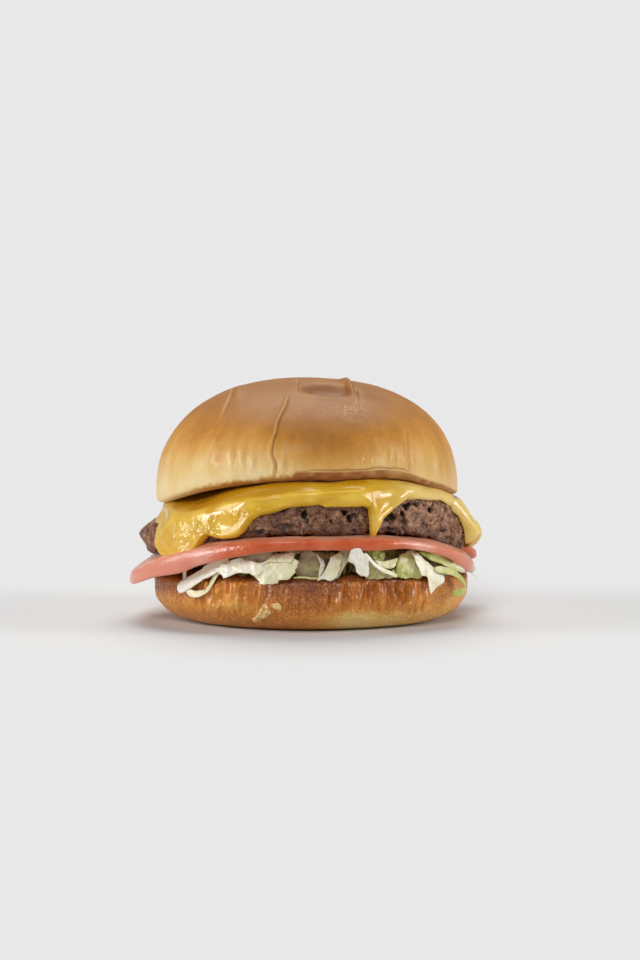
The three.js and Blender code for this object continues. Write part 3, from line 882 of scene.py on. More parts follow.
def cheese_material():
    # Melted processed cheese: smooth, even yellow, waxy gloss, and light soaks in a little.
    material, tree, place = new_material("melted_processed_cheese")
    cloud = add(tree, "TexNoise", {"Vector": place, "Scale": per_metre(8), "Detail": 3.0})
    # Bands along the way it flowed.
    flow = add(tree, "Mapping", {"Vector": place, "Scale": (0.25, 0.6, 1.0)})
    bands = add(tree, "TexNoise", {"Vector": flow, "Scale": per_metre(2), "Detail": 2.0})
    banded = add(tree, "Math", {0: bands, 1: 0.55, 2: cloud}, operation="MULTIPLY_ADD")
    body = add(tree, "ValToRGB", {"Fac": banded}, stops=[(0.6, "d8a214"), (1.0, "edc744")])
    # The deep tone is mostly painted shade, under the crown's rim and in the hollow.
    body = painted(tree, body, {"milky": "f2da8a", "deep": "be860c"})
    ripple = add(tree, "TexNoise", {"Vector": place, "Scale": per_metre(1.2), "Detail": 1.5})
    wavy = add(tree, "Attribute", attribute_name="wavy").outputs["Fac"]
    rippled = add(tree, "Math", {0: ripple, 1: wavy}, operation="MULTIPLY")
    bump = add(tree, "Bump", {"Strength": 0.8, "Distance": 0.0008, "Height": rippled})
    cheese = add(tree, "BsdfPrincipled", {
        "Base Color": body, "Roughness": 0.17, "IOR": 1.45, "Normal": bump,
        "Subsurface Weight": 0.25, "Subsurface Radius": (1.0, 0.7, 0.2), "Subsurface Scale": 0.0007})
    return covered(material, cheese)


def over_shoulder(edge, run, away):
    """Radius and height of a point that far off the patty, `run` along it from its shoulder."""
    round_length = 0.5 * math.pi * PATTY_SHOULDER
    turn = np.minimum(run, round_length) / PATTY_SHOULDER
    beyond = np.maximum(0, run - round_length)
    radius = edge - PATTY_SHOULDER + (PATTY_SHOULDER + away) * np.sin(turn)
    height = -PATTY_SHOULDER + (PATTY_SHOULDER + away) * np.cos(turn) - beyond
    return radius, height


def hollow(points):
    """Where the sheet and the meat under it sag away from the crown, at the left of the front, and the cheese
    gets painted shade.
    """
    across, level = points[..., 0], points[..., 2]
    middle = 43.6 + 0.33 * (across + 34)
    return bell(across, -35, 8.5) * bell(level, middle, 3.0) * ease(10, 25, -points[..., 1])


def sunk(points):
    """Points moved down and back where the hollow is, and inwards at the two upper ends."""
    across = points[..., 0]
    inwards = 2.8 * ease(43, 53, -across) * bell(points[..., 2], 36.3, 3.6)
    inwards = inwards - 1.5 * ease(44, 53, across) * bell(points[..., 2], 37.8, 3.4)
    moved = points + hollow(points)[..., None] * np.array([0.3, 1.6, -2.0])
    moved[..., 0] += inwards
    return moved


def cheese_reach(angle, edge):
    """How far along the patty the sheet has run, from the shoulder."""
    x = edge * np.cos(angle)
    y = edge * np.sin(angle)
    across, heights = np.array(CHEESE_FRONT_EDGE).T
    outside_x = (edge + CHEESE_GAP + CHEESE_THICKNESS) * np.cos(angle)
    fall = patty_top(x, y) - np.interp(outside_x, across, heights)
    fall = np.clip(fall, 0.8, PATTY_THICKNESS + 2.0)
    round_run = PATTY_SHOULDER * np.arccos(np.clip(1 - fall / PATTY_SHOULDER, 0, 1))
    front_run = np.where(fall < PATTY_SHOULDER, round_run,
                         0.5 * math.pi * PATTY_SHOULDER + fall - PATTY_SHOULDER)
    other_run = 5.8 + waves(angle, [(7, 0.5, 0.3), (13, 0.3, 1.2)])
    for centre, width, size in CHEESE_CORNERS:
        away = np.degrees(np.angle(np.exp(1j * (angle - math.radians(centre)))))
        other_run = other_run + size * np.exp(-(away / width) ** 4)
    in_front = np.where(x < 0, ease(0.22, 0.42, -np.sin(angle)), ease(0.08, 0.24, -np.sin(angle)))
    return front_run * in_front + np.minimum(other_run, 18.2) * (1 - in_front)


def edge_distance(along, run, reach, length):
    """Distance from each point of the sheet to its melted edge; `along` goes once round `length`."""
    nearest = np.full(run.shape, 99.0)
    for step in range(-36, 37):
        start_x = (np.roll(along, step) - along + 0.5 * length) % length - 0.5 * length
        end_x = (np.roll(along, step - 1) - along + 0.5 * length) % length - 0.5 * length
        start_run, end_run = np.roll(reach, step) - run, np.roll(reach, step - 1) - run
        width, rise = end_x - start_x, end_run - start_run
        part = np.clip(-(start_x * width + start_run * rise) / (width ** 2 + rise ** 2), 0, 1)
        away = np.hypot(start_x + part * width, start_run + part * rise)
        nearest = np.minimum(nearest, away)
    return nearest


def cheese_rings(angle, edge):
    """The sheet's plain shape, with each point's height, share of the radius and part in its outside."""
    reach = cheese_reach(angle, edge)
    x, y = edge * np.cos(angle), edge * np.sin(angle)
    steps = np.hypot(np.roll(x, -1) - x, np.roll(y, -1) - y)
    along = np.concatenate([[0], np.cumsum(steps)[:-1]])
    flat = np.array([0, 0.35, 0.7, 0.93])[:, None]
    share = (1 - np.linspace(1, 0, 38) ** 1.7)[:, None]
    # Rows near the top run level, whatever the edge does below them.
    run = 3 * share + (reach - 3) * share ** 3
    distance = edge_distance(along, run, reach, steps.sum())
    # The right corner hangs clear of the meat and is thick at its foot.
    corner = turned_bell(angle, 5, 15)
    clear = CHEESE_GAP + 1.5 * corner * ease(7, 11, run)
    thickness = CHEESE_THICKNESS + 2.4 * corner * ease(6, 10, run) * (1 - 0.45 * ease(12, 17, run))
    thickness = thickness + 1.6 * turned_bell(angle, 214, 14) * ease(4, 10, run)
    thickness = thickness + 0.7 * bell(distance, 1.8, 1.4)
    profile = np.sqrt(1 - (1 - np.minimum(distance / 1.5, 1)) ** 2)
    outer = over_shoulder(edge, run, clear + thickness * profile)
    radius, height, outside = stacked(
        (flat * (edge - PATTY_SHOULDER), CHEESE_GAP, 0),
        (*over_shoulder(edge, run, clear), 0),
        (outer[0][-2::-1], outer[1][-2::-1], profile[-2::-1]),
        (flat[::-1] * (edge - PATTY_SHOULDER), CHEESE_GAP + CHEESE_THICKNESS, 0.3))
    return on_patty(radius, angle, height), height, radius / edge, outside


def make_cheese():
    """The cheese: swollen along the crown, rippled on its left lobe and folded at its drip."""
    angle = front_dense(CHEESE_SEGMENTS)
    plain, height, share, outside = cheese_rings(angle, patty_radius(angle))
    across, level = plain[..., 0], plain[..., 2]
    in_front = plain[..., 1] < 0
    ridge_level = 45.6 + 0.02 * across - 0.0022 * (across - 10) ** 2
    ridge = bell(level, ridge_level, 0.6) * between(-24, -14, 14, 22, across)
    ripples = (bell(across, -42.5, 4.5) * bell(level, 31.5, 3) + bell(across, -33, 4) * bell(level, 34.5, 2.4)
               + 0.7 * bell(across, -20, 5) * bell(level, 39.3, 1.4))
    # It swells up under the crown's rim, and the drip has a fold down its right side.
    swell = (1.1 * bell(across, 19, 19) + 0.4 * bell(across, -9, 11)) * ease(-3.5, 0.5, height)
    fold = bell(across, 24.2 - 0.25 * (41 - level), 1.1) * bell(level, 37.5, 4.5)
    push = 0.8 * ridge + 0.75 * ripples * noise(plain, 1.1, 18) + swell + 0.12 * fold
    push = push * in_front + 0.45 * noise(plain, 8, 12) + 0.12 * noise(plain, 3.5, 13)
    rings = sunk(pushed(plain, push * outside * ease(0.75, 0.95, share)))

    in_shade = ease(ridge_level + 0.3, ridge_level + 1.6, level) * ease(-52, -42, across) * in_front
    in_shade = in_shade * (0.8 - 0.45 * ease(-8, 8, across)) * (1 - ease(22, 36, across))
    # Painted shade under the crown's rim and in the hollow, with a random deeper gold low on the sheet,
    # lighter on the drip.
    deep = hollow(plain) + in_shade + 0.3 * ease(0.1, 0.6, noise(plain, 9, 14)) * ease(1, 6, -height)
    deep = deep * (1 - 0.8 * bell(across, 22.8, 2.6) * in_front)
    milky = 0.6 * ease(22, 38, across) + 0.15 * ease(26, 42, -across)
    milky = milky + 0.15 * bell(across, 22.6, 2.2) * bell(level, 36, 4) * in_front
    wavy = np.clip(0.015 + ripples * in_front, 0, 1)
    shape = skin(rings, deep=np.clip(deep, 0, 1), milky=milky, wavy=wavy)
    make_piece("cheese_sheet", shape, cheese_material(), ["cheese_slice"])


# --- Tomato -----------------------------------------------------------------------------------

TOMATO_WAVES = [(2, 0.25, 0.6), (5, 0.5, 1.3), (7, 0.3, 0.2)]
# How far the skin bulges out past the cut faces.
TOMATO_ROUND = 1.4
GEL_POCKETS = 7
FRONT_CENTRE, FRONT_SIZE = (-1.4, -8), (116, 94)
REAR_CENTRE, REAR_SIZE, REAR_THICKNESS = (29.8, 24), 58, 3.0
REAR_UNDER = TOMATO_UNDER + TOMATO_THICKNESS - 0.3


def tomato_material():
    # Sliced ripe tomato: wet, slightly see-through flesh inside a thin glossy skin.
    material, tree, place = new_material("ripe_tomato_slice")
    cloud = add(tree, "TexNoise", {"Vector": place, "Scale": per_metre(7), "Detail": 3.0})
    fibres = add(tree, "TexNoise", {"Vector": place, "Scale": per_metre(0.9), "Detail": 2.0})
    wall = add(tree, "ValToRGB", {"Fac": cloud}, stops=[(0.3, "e08a66"), (0.7, "efae90")])
    skin_red = add(tree, "ValToRGB", {"Fac": cloud}, stops=[(0.3, "ca5527"), (0.7, "d77046")])
    # The pale tone is paler pink towards both ends of the front slice, plus two painted highlights.
    flesh, peel = painted(tree, wall, {"gel": "cc5a2a"}), painted(tree, skin_red, {"pale": "eaa896"})
    on_skin = add(tree, "Attribute", attribute_name="skin").outputs["Fac"]
    both = add(tree, "Mix", {0: on_skin, 6: flesh, 7: peel}, data_type="RGBA")
    bump = add(tree, "Bump", {"Strength": 0.35, "Distance": 0.0004, "Height": fibres})
    slice_shader = add(tree, "BsdfPrincipled", {
        "Base Color": both, "Roughness": 0.2, "IOR": 1.4, "Normal": bump,
        "Subsurface Weight": 0.35, "Subsurface Radius": (1.0, 0.35, 0.2), "Subsurface Scale": 0.0015})
    return covered(material, slice_shader)


def tomato_cut(rim_x, thickness, edge_fall, left_extra):
    """The slice's thickness, and the levels of its lower and upper edge, round its rim."""
    thick = thickness + left_extra * (ease(8, 46, -rim_x) - 0.6 * ease(51, 59, -rim_x))
    deeper = left_extra * (
        0.2 * between(10, 26, 41, 50, -rim_x)
        + 0.4 * between(34, 42, 44, 52, -rim_x)
        - 0.5 * between(22, 34, 50, 57, rim_x))
    return thick, -edge_fall - deeper, thick - 0.8 * min(1, edge_fall + 0.4)


def tomato_slice(centre, size, thickness, under, edge_fall, left_extra, seed, segments):
    """A slice that hangs over at its rim; the front one is cut thicker at its left."""
    angle = front_dense(segments)[None, :]
    edge = oval(angle, size[0], size[1]) + waves(angle, TOMATO_WAVES)
    face = np.concatenate([[0], np.linspace(0.2, 1, 30)])[:, None]
    belly = np.linspace(-0.5 * math.pi, 0.5 * math.pi, 34)[1:-1, None]
    inner = edge - TOMATO_ROUND
    fall = ease(0, 1, (face * inner - (edge - 7)) / 6.1)
    rim_x = centre[0] + edge * np.cos(angle)
    thick, low_edge, high_edge = tomato_cut(rim_x, thickness, edge_fall, left_extra)
    middle, half = 0.5 * (low_edge + high_edge), 0.5 * (high_edge - low_edge)
    # The skin is nearly flat between two tight corners.
    radius, height, side = stacked(
        (face * inner, fall * low_edge, 0),
        (inner + TOMATO_ROUND * np.cos(belly) ** 0.75, middle + half * np.sin(belly), np.cos(belly) ** 0.3),
        ((face * inner)[::-1], (thick - fall * (thick - high_edge))[::-1], 0))
    x = centre[0] + radius * np.cos(angle)
    y = centre[1] + radius * np.sin(angle)
    level = under + height + tomato_level(x, y)
    # Where it bends down at the right, its rim leans in towards its foot.
    x = x + 0.6 * ease(40, 56, x) * (height - 0.6 * thick)
    rings = xyz(x, y, level)
    # Pockets of gel inside the outer wall, with paler walls between them.
    inwards = edge - radius + 1.3 * noise(rings, 4, seed + 2)
    gel = between(6.0, 8.5, 20, 25, inwards)
    gel = gel * ease(-0.75, -0.3, np.cos(GEL_POCKETS * angle + 0.5 * noise(rings, 9, seed + 3)))
    rings = pushed(rings, 0.25 * noise(rings, 9, seed) + 0.04 * noise(rings, 2.2, seed + 1) - 0.4 * gel)
    # Paler towards both ends, with painted highlights round x = 38.3 and x = -33.5.
    pale = 0.55 * ease(24, 46, -x) + 0.45 * ease(30, 52, x) + 0.8 * bell(x, 38.3, 4) + 0.6 * bell(x, -33.5, 4)
    pale = np.clip(pale, 0, 1) * ease(-6, 20, -y) * (left_extra > 0)
    return skin(rings, skin=side, pale=pale, gel=gel)


def tomato_seed_material():
    # Tomato seed in its wet coat: pale straw and shiny.
    material, tree, place = new_material("wet_tomato_seed")
    down = add(tree, "TexNoise", {"Vector": place, "Scale": per_metre(0.6), "Detail": 2.0})
    tone = add(tree, "ValToRGB", {"Fac": down}, stops=[(0.3, "d9a860"), (0.7, "f0d59a")])
    seed = add(tree, "BsdfPrincipled", {"Base Color": tone, "Roughness": 0.2, "IOR": 1.4})
    return covered(material, seed)


def tomato_seeds(centre, size, top, dice):
    """Flat drop-shaped seeds lying in the gel of a slice."""
    around = np.arange(12)[None, :] * TURN / 12
    rise = np.linspace(-0.5 * math.pi, 0.5 * math.pi, 7)[:, None]
    long = 1.7 * np.cos(rise) * np.cos(around) * (1 + 0.25 * np.cos(around))
    wide = 1.1 * np.cos(rise) * np.sin(around)
    seeds = []
    for number in range(5 * GEL_POCKETS):
        angle = (number % GEL_POCKETS + 0.28 * dice.uniform(-1, 1)) * TURN / GEL_POCKETS
        radius = 0.5 * size - dice.uniform(9, 19)
        turn = angle + 0.5 * dice.uniform(-1, 1)
        x = centre[0] + radius * math.cos(angle) + long * math.cos(turn) - wide * math.sin(turn)
        y = centre[1] + radius * math.sin(angle) + long * math.sin(turn) + wide * math.cos(turn)
        seeds.append(skin(xyz(x, y, top + tomato_level(x, y) + 0.45 * np.sin(rise))))
    return join(seeds)


def make_tomatoes():
    """The front slice, which shows all along, and behind it a smaller one that lies on it."""
    material = tomato_material()
    front = tomato_slice(FRONT_CENTRE, FRONT_SIZE, TOMATO_THICKNESS + 0.3, TOMATO_UNDER,
                         edge_fall=0.6, left_extra=1.9, seed=50, segments=400)
    make_piece("tomato_front", front, material, ["tomato_slice_front"])
    rear = tomato_slice(REAR_CENTRE, (REAR_SIZE, REAR_SIZE), REAR_THICKNESS, REAR_UNDER,
                        edge_fall=0.0, left_extra=0.0, seed=60, segments=240)
    make_piece("tomato_rear", rear, material, ["tomato_slice_rear"])
    in_gel = REAR_UNDER + REAR_THICKNESS - 0.2
    seeds = tomato_seeds(REAR_CENTRE, REAR_SIZE, in_gel, np.random.default_rng(8))
    make_piece("tomato_seeds", seeds, tomato_seed_material())


# --- Lettuce ----------------------------------------------------------------------------------

LEAF_THICKNESS = 0.4
LEAF_SEGMENTS = 90
SIDE_LEAVES = 52
CORE_WIDTH, CORE_DEPTH = 93, 89
# At this angle, in degrees, the heap is hollow and a single rib shows in front of it.
BARE_ANGLE = 212
# Each leaf: its outline, as (place across, height) at the front of the heap; how far its top and its
# foot are from the middle of the heap; how green it is at its left and right; and how shaded it is.
LEAVES = [
    ([(-29.1, 20.6), (-27.1, 23.0), (-24.1, 23.9), (-21.4, 24.7), (-17.8, 24.2), (-13.9, 23.0), (-12.9, 21.1),
      (-15.2, 19.4), (-17.8, 19.9), (-21.1, 20.1), (-23.4, 19.3), (-26.4, 18.1), (-27.1, 19.1)],
     (51.6, 53.4), (0.05, 0.18), 0.04),
    ([(-16.8, 21.7), (-15.2, 23.1), (-13.5, 23.8), (-9.6, 23.9), (-5.7, 24.9), (-3.7, 25.0), (-2.4, 23.7),
      (-2.4, 22.0), (-3.7, 19.7), (-5.0, 18.4), (-8.3, 18.0), (-9.0, 17.0), (-13.9, 16.9), (-15.8, 18.1),
      (-17.8, 19.7)], (51.0, 53.0), (0.22, 0.42), 0.06),
    ([(-13.8, 23.2), (-12.2, 24.6), (-10.9, 25.9), (-8.0, 26.3), (-3.7, 27.0), (-3.4, 25.4), (-4.7, 24.1),
      (-8.0, 24.0), (-11.2, 23.9)], (50.2, 52.8), (0.25, 0.3), 0.1),
    ([(-22.8, 23.7), (-21.2, 25.4), (-17.2, 26.6), (-12.6, 27.2), (-10.3, 26.5), (-13.2, 23.5), (-17.2, 23.0),
      (-20.2, 23.0)], (49.0, 50.0), (0.3, 0.4), 0.55),
    ([(-1.8, 24.7), (-0.2, 26.7), (3.1, 26.7), (4.7, 24.7), (5.1, 21.5), (4.7, 18.8), (1.1, 18.2),
      (-2.1, 18.5), (-2.8, 20.8)], (47.0, 47.6), (0.35, 0.35), 0.6),
    ([(3.8, 26.7), (4.7, 25.7), (6.0, 24.4), (6.7, 22.7), (6.0, 20.4), (4.7, 18.8), (4.7, 21.1),
      (5.1, 23.1), (4.4, 25.0)], (48.5, 50.0), (0.1, 0.2), 0.1),
    ([(4.1, 18.0), (5.4, 19.3), (7.0, 21.6), (8.0, 23.9), (9.0, 25.9), (12.2, 26.1), (12.2, 24.2),
      (11.6, 21.9), (10.6, 19.3), (9.6, 18.0), (7.7, 17.7), (6.0, 18.2)], (49.5, 51.6), (0.1, 0.35), 0.12),
    ([(10.9, 26.6), (15.4, 27.2), (15.2, 25.2), (13.2, 22.3), (11.3, 18.7), (8.6, 18.7), (9.6, 24.3)],
     (48.0, 49.3), (0.3, 0.3), 0.35),
    ([(15.5, 28.2), (17.1, 28.8), (18.4, 28.1), (19.4, 26.8), (20.7, 25.4), (21.1, 22.8), (21.1, 19.2),
      (18.8, 18.9), (17.1, 20.3), (16.5, 22.6), (15.2, 23.6), (14.2, 24.6), (14.8, 26.3)],
     (54.6, 50.2), (0.0, 0.1), 0.0),
    ([(19.5, 25.3), (22.1, 24.2), (24.1, 22.1), (27.4, 20.0), (30.4, 18.5), (29.4, 17.8), (20.0, 18.2)],
     (48.5, 49.5), (0.55, 0.6), 0.45),
    ([(23.1, 24.0), (26.0, 23.5), (30.4, 24.2), (30.0, 22.6), (29.0, 21.1), (26.1, 21.2), (24.4, 22.3)],
     (49.5, 50.5), (0.45, 0.4), 0.05),
    ([(25.1, 21.4), (28.1, 20.2), (30.4, 20.9), (30.7, 18.0), (27.4, 18.6)], (48.5, 49.8), (0.6, 0.6), 0.1),
    ([(21.0, 26.9), (24.8, 27.3), (26.4, 25.6), (25.8, 23.6), (23.4, 23.4), (22.1, 24.8)],
     (47.5, 48.5), (0.85, 0.95), 0.05),
    ([(30.1, 20.3), (30.4, 23.2), (32.0, 25.3), (34.4, 26.2), (37.1, 25.6), (39.1, 22.2), (39.5, 19.5),
      (38.1, 17.2), (34.1, 17.3), (30.7, 17.9)], (49.0, 50.6), (0.75, 0.5), 0.2),
    ([(35.0, 25.9), (37.3, 25.3), (39.7, 23.1), (41.8, 21.2), (44.2, 19.3), (46.6, 16.6), (45.6, 15.1),
      (43.8, 14.3), (42.5, 12.8), (41.8, 11.6), (41.1, 13.7), (40.4, 17.4), (38.4, 18.3), (37.3, 21.3),
      (36.0, 24.1)], (50.5, 54.3), (0.2, 0.3), 0.0),
    ([(38.0, 25.7), (42.7, 25.2), (45.2, 23.9), (47.3, 22.6), (50.5, 20.9), (53.0, 18.8), (53.8, 16.9),
      (50.8, 17.9), (48.0, 19.8), (44.8, 21.3), (41.4, 23.0)], (51.8, 53.0), (0.9, 0.35), 0.0),
    ([(41.6, 22.1), (45.1, 20.6), (48.6, 18.6), (48.6, 16.7), (45.4, 17.2), (42.0, 18.9)],
     (49.5, 50.6), (0.3, 0.3), 0.55),
]
# Ribs and narrow strips: a path of (place across, height), its distances from the middle of the heap
# at both ends, widths at both ends, thickness, green at both ends and turn of the strip.
STRIPS = [
    ([(-42.4, 12.4), (-39.6, 14.4), (-36.0, 16.9), (-32.6, 19.3), (-28.9, 21.5), (-24.5, 23.6)],
     (53.0, 51.0), (3.9, 4.4), 0.8, (0.0, 0.15), 0.25),
    ([(-39.9, 19.8), (-39.8, 17.4), (-39.9, 14.6)], (51.0, 51.8), (1.8, 1.6), 0.5, (0.25, 0.35), 0.0),
    ([(-39.4, 13.2), (-37.6, 12.0), (-35.5, 11.8), (-33.2, 12.7), (-31.5, 14.2), (-30.4, 16.3), (-29.1, 18.7),
      (-27.7, 20.2)], (52.6, 51.0), (2.7, 1.8), 0.4, (0.3, 0.5), 0.5),
    ([(19.6, 26.9), (21.4, 24.6), (23.4, 22.4), (25.7, 20.8), (28.0, 19.6), (30.5, 18.3)], (52.6, 51.2),
     (1.2, 1.4), 0.4, (0.1, 0.35), 0.2),
    ([(-3.7, 18.5), (-0.5, 18.7), (2.5, 18.4), (5.4, 18.7)], (49.4, 49.7), (0.7, 0.7), 0.6, (0.55, 0.6), 0.0),
    ([(42.7, 19.9), (46.4, 19.2), (49.6, 17.9), (51.9, 15.9), (53.4, 13.6), (53.2, 11.8), (51.4, 11.3),
      (48.9, 11.6)], (53.0, 56.0), (2.3, 2.5), 0.6, (0.55, 0.9), 0.3),
]
WIDE = 1.053


def heap_foot(x):
    """Where the heap begins, which is the heel's top face."""
    return HEEL_HEIGHT * heel_press(x)


def heap_top(x, y):
    """Where the heap ends: under the tomato, and at the left of the back under the patty."""
    gap = ease(30, 40, y) * (1 - ease(0, 12, x)) * (PATTY_UNDER - TOMATO_UNDER + 6.5)
    return TOMATO_UNDER - 1.0 + tomato_level(x, y) + gap


def on_heap(across, height, reach, turn=0.0):
    """Points of the heap's side from their places at its front, turned round the heap."""
    sine = np.clip((across - HEEL_CENTRE_X) / (WIDE * reach), -1, 1)
    angle = np.arcsin(sine) + FRONT
    front_x, front_y = HEEL_CENTRE_X + WIDE * reach * np.cos(angle), reach * np.sin(angle)
    x = HEEL_CENTRE_X + WIDE * reach * np.cos(angle + turn)
    y = reach * np.sin(angle + turn)
    if turn:
        low, gap = heap_foot(front_x), np.maximum(heap_top(front_x, front_y) - heap_foot(front_x), 5)
        height = heap_foot(x) + np.clip((height - low) / gap, -0.8, 1.3) * (heap_top(x, y) - heap_foot(x))
    return xyz(x, y, height)


def leaf(outline, reaches, greens, shade, seed, turn=0.0, flip=False, fineness=1.0):
    """One crisp leaf: a closed, ruffled sheet inside its outline."""
    edge = smooth_curve(outline, int(LEAF_SEGMENTS * fineness), True)
    middle = 0.5 * (edge.min(axis=0) + edge.max(axis=0))
    if flip:
        edge[:, 0] = 2 * middle[0] - edge[:, 0]
    ragged = 0.085 * rough_noise(xyz(edge[:, 0], edge[:, 1], seed), 1.2, 70, 2)
    edge = middle + (edge - middle) * (1 + ragged)[:, None]
    share = np.sin(np.linspace(0, 0.5 * math.pi, int(1 + 15 * fineness)))[:, None]
    flat = middle + share[..., None] * (edge - middle)
    across, height = flat[..., 0], flat[..., 1]
    low, high = edge[:, 1].min(), edge[:, 1].max()
    rise = (height - low) / (high - low)
    spot = xyz(across, height, 7 * seed)
    veins = spot * np.array([1.0, 0.35, 1.0])
    out = reaches[0] * rise + reaches[1] * (1 - rise) + 0.15 * (1 - share ** 2)
    out = out + 0.9 * share * noise(spot, 3.2, 72) + 0.2 * rough_noise(spot, 1.5, 73, 2)
    out = out + 0.22 * rough_noise(veins, 1.1, 77, 2)
    half = 0.5 * LEAF_THICKNESS * np.sqrt(1 - share ** 6)
    front, back = (on_heap(across, height, out + side, turn) for side in (half, -half))
    rings = two_faced(front, back, edge)
    green = greens[0] + (greens[1] - greens[0]) * (across - edge[:, 0].min()) / np.ptp(edge[:, 0])
    green = np.clip(green + 0.12 * noise(spot, 2.5, 74) + 0.12 * noise(veins, 1.1, 77), 0, 1)
    return skin(rings, green=np.concatenate([green, green[-2::-1]]), shade=shade)


def strip(path, reaches, widths, thickness, greens, twist, seed):
    """One rib or narrow strip: a flattened round section along its path."""
    way = smooth_curve(path, 40, False)
    part = np.linspace(0, 1, len(way))
    spot = xyz(way[:, 0], way[:, 1], 5 * seed)
    out = reaches[0] + (reaches[1] - reaches[0]) * part + 0.3 * noise(spot, 4, 75)
    middle = on_heap(way[:, 0], way[:, 1], out)
    ahead = np.gradient(middle, axis=0)
    ahead = ahead / np.linalg.norm(ahead, axis=-1, keepdims=True)
    outwards = middle * np.array([1, 1, 0])
    outwards = outwards - np.sum(outwards * ahead, axis=-1, keepdims=True) * ahead
    outwards = outwards / np.linalg.norm(outwards, axis=-1, keepdims=True)
    beside = np.cross(ahead, outwards)
    blunt = np.sqrt(1 - np.abs(2 * part - 1) ** 9)
    width = (widths[0] + (widths[1] - widths[0]) * part) * blunt * (1 + 0.2 * noise(spot, 1.6, 76))
    around = (np.arange(20) * TURN / 20)[None, :, None]
    lean = (twist * np.sin(3 * part))[:, None, None]
    # A section with nearly flat faces and round corners.
    wide = 0.5 * width[:, None, None] * np.sign(np.cos(around)) * np.abs(np.cos(around)) ** 0.6
    deep = np.sign(np.sin(around)) * np.abs(np.sin(around)) ** 0.6
    deep = 0.5 * thickness * blunt[:, None, None] * deep
    rings = (middle[:, None] + (wide * np.cos(lean) - deep * np.sin(lean)) * beside[:, None]
             + (wide * np.sin(lean) + deep * np.cos(lean)) * outwards[:, None])
    green = (greens[0] + (greens[1] - greens[0]) * part)[:, None]
    return skin(rings[:, ::-1], green=green, shade=0.0)


def lettuce_material():
    # Shredded iceberg: crisp, wet, cream-white near the rib and yellow-green towards the edge.
    material, tree, place = new_material("shredded_iceberg")
    blotches = add(tree, "TexNoise", {"Vector": place, "Scale": per_metre(2.5), "Detail": 4.0})
    upright = add(tree, "Mapping", {"Vector": place, "Scale": (1.0, 1.0, 0.3)})
    lines = add(tree, "TexNoise", {"Vector": upright, "Scale": per_metre(0.8), "Detail": 2.0})
    veins = add(tree, "Mix", {0: 0.5, 2: blotches, 3: lines})
    green = add(tree, "Attribute", attribute_name="green").outputs["Fac"]
    tone = varied(tree, green, veins, 0.7)
    blade = add(tree, "ValToRGB", {"Fac": tone}, stops=[
        (0.0, "fffaec"), (1.0, "98ae34"), (0.25, "f6f1d2"), (0.5, "e2dfa6"), (0.75, "c8c974")])
    blade = painted(tree, blade, {"shade": "7a5a20"})
    bump = add(tree, "Bump", {"Strength": 0.5, "Distance": 0.0005, "Height": veins})
    surface = add(tree, "BsdfPrincipled", {
        "Base Color": blade, "Roughness": 0.28, "IOR": 1.36, "Normal": bump,
        "Subsurface Weight": 0.25, "Subsurface Radius": (0.8, 1.0, 0.5), "Subsurface Scale": 0.0004})
    return covered(material, surface)


def lettuce_core():
    """The inside of the heap, which the shreds and leaves cover."""
    angle = front_dense(360)[None, :]
    edge = oval(angle, CORE_WIDTH, CORE_DEPTH)
    edge = edge + waves(angle, [(2, 0.9, 0.4), (5, 1.5, 2.1), (9, 1.3, 0.7), (14, 1.0, 1.9)])
    edge = edge - 9 * turned_bell(angle, BARE_ANGLE, 20)
    face = np.array([0, 0.4, 0.7, 0.88])[:, None]
    side = np.linspace(-0.5 * math.pi, 0.5 * math.pi, 24)[:, None]
    radius, share = stacked(
        (face * (edge - 3), 0),
        (edge - 3 * (1 - np.cos(side)), 0.5 + 0.5 * np.sin(side)),
        (face[::-1] * (edge - 3), 1))
    x, y = radius * np.cos(angle), radius * np.sin(angle)
    under, over = heap_foot(x) + 0.2, heap_top(x, y) - 0.1
    rings = xyz(x, y, under + share * (over - under))
    outer = ease(0.85, 0.97, radius / edge)
    rings = pushed(rings, outer * (1.2 * noise(rings * np.array([1, 1, 2.0]), 5, 71) - 0.8))
    bare = turned_bell(angle, BARE_ANGLE, 26) > 0.4
    return skin(rings, green=0.5, shade=0.6, outer=ease(0.9, 0.97, radius / edge) * (1 - bare))


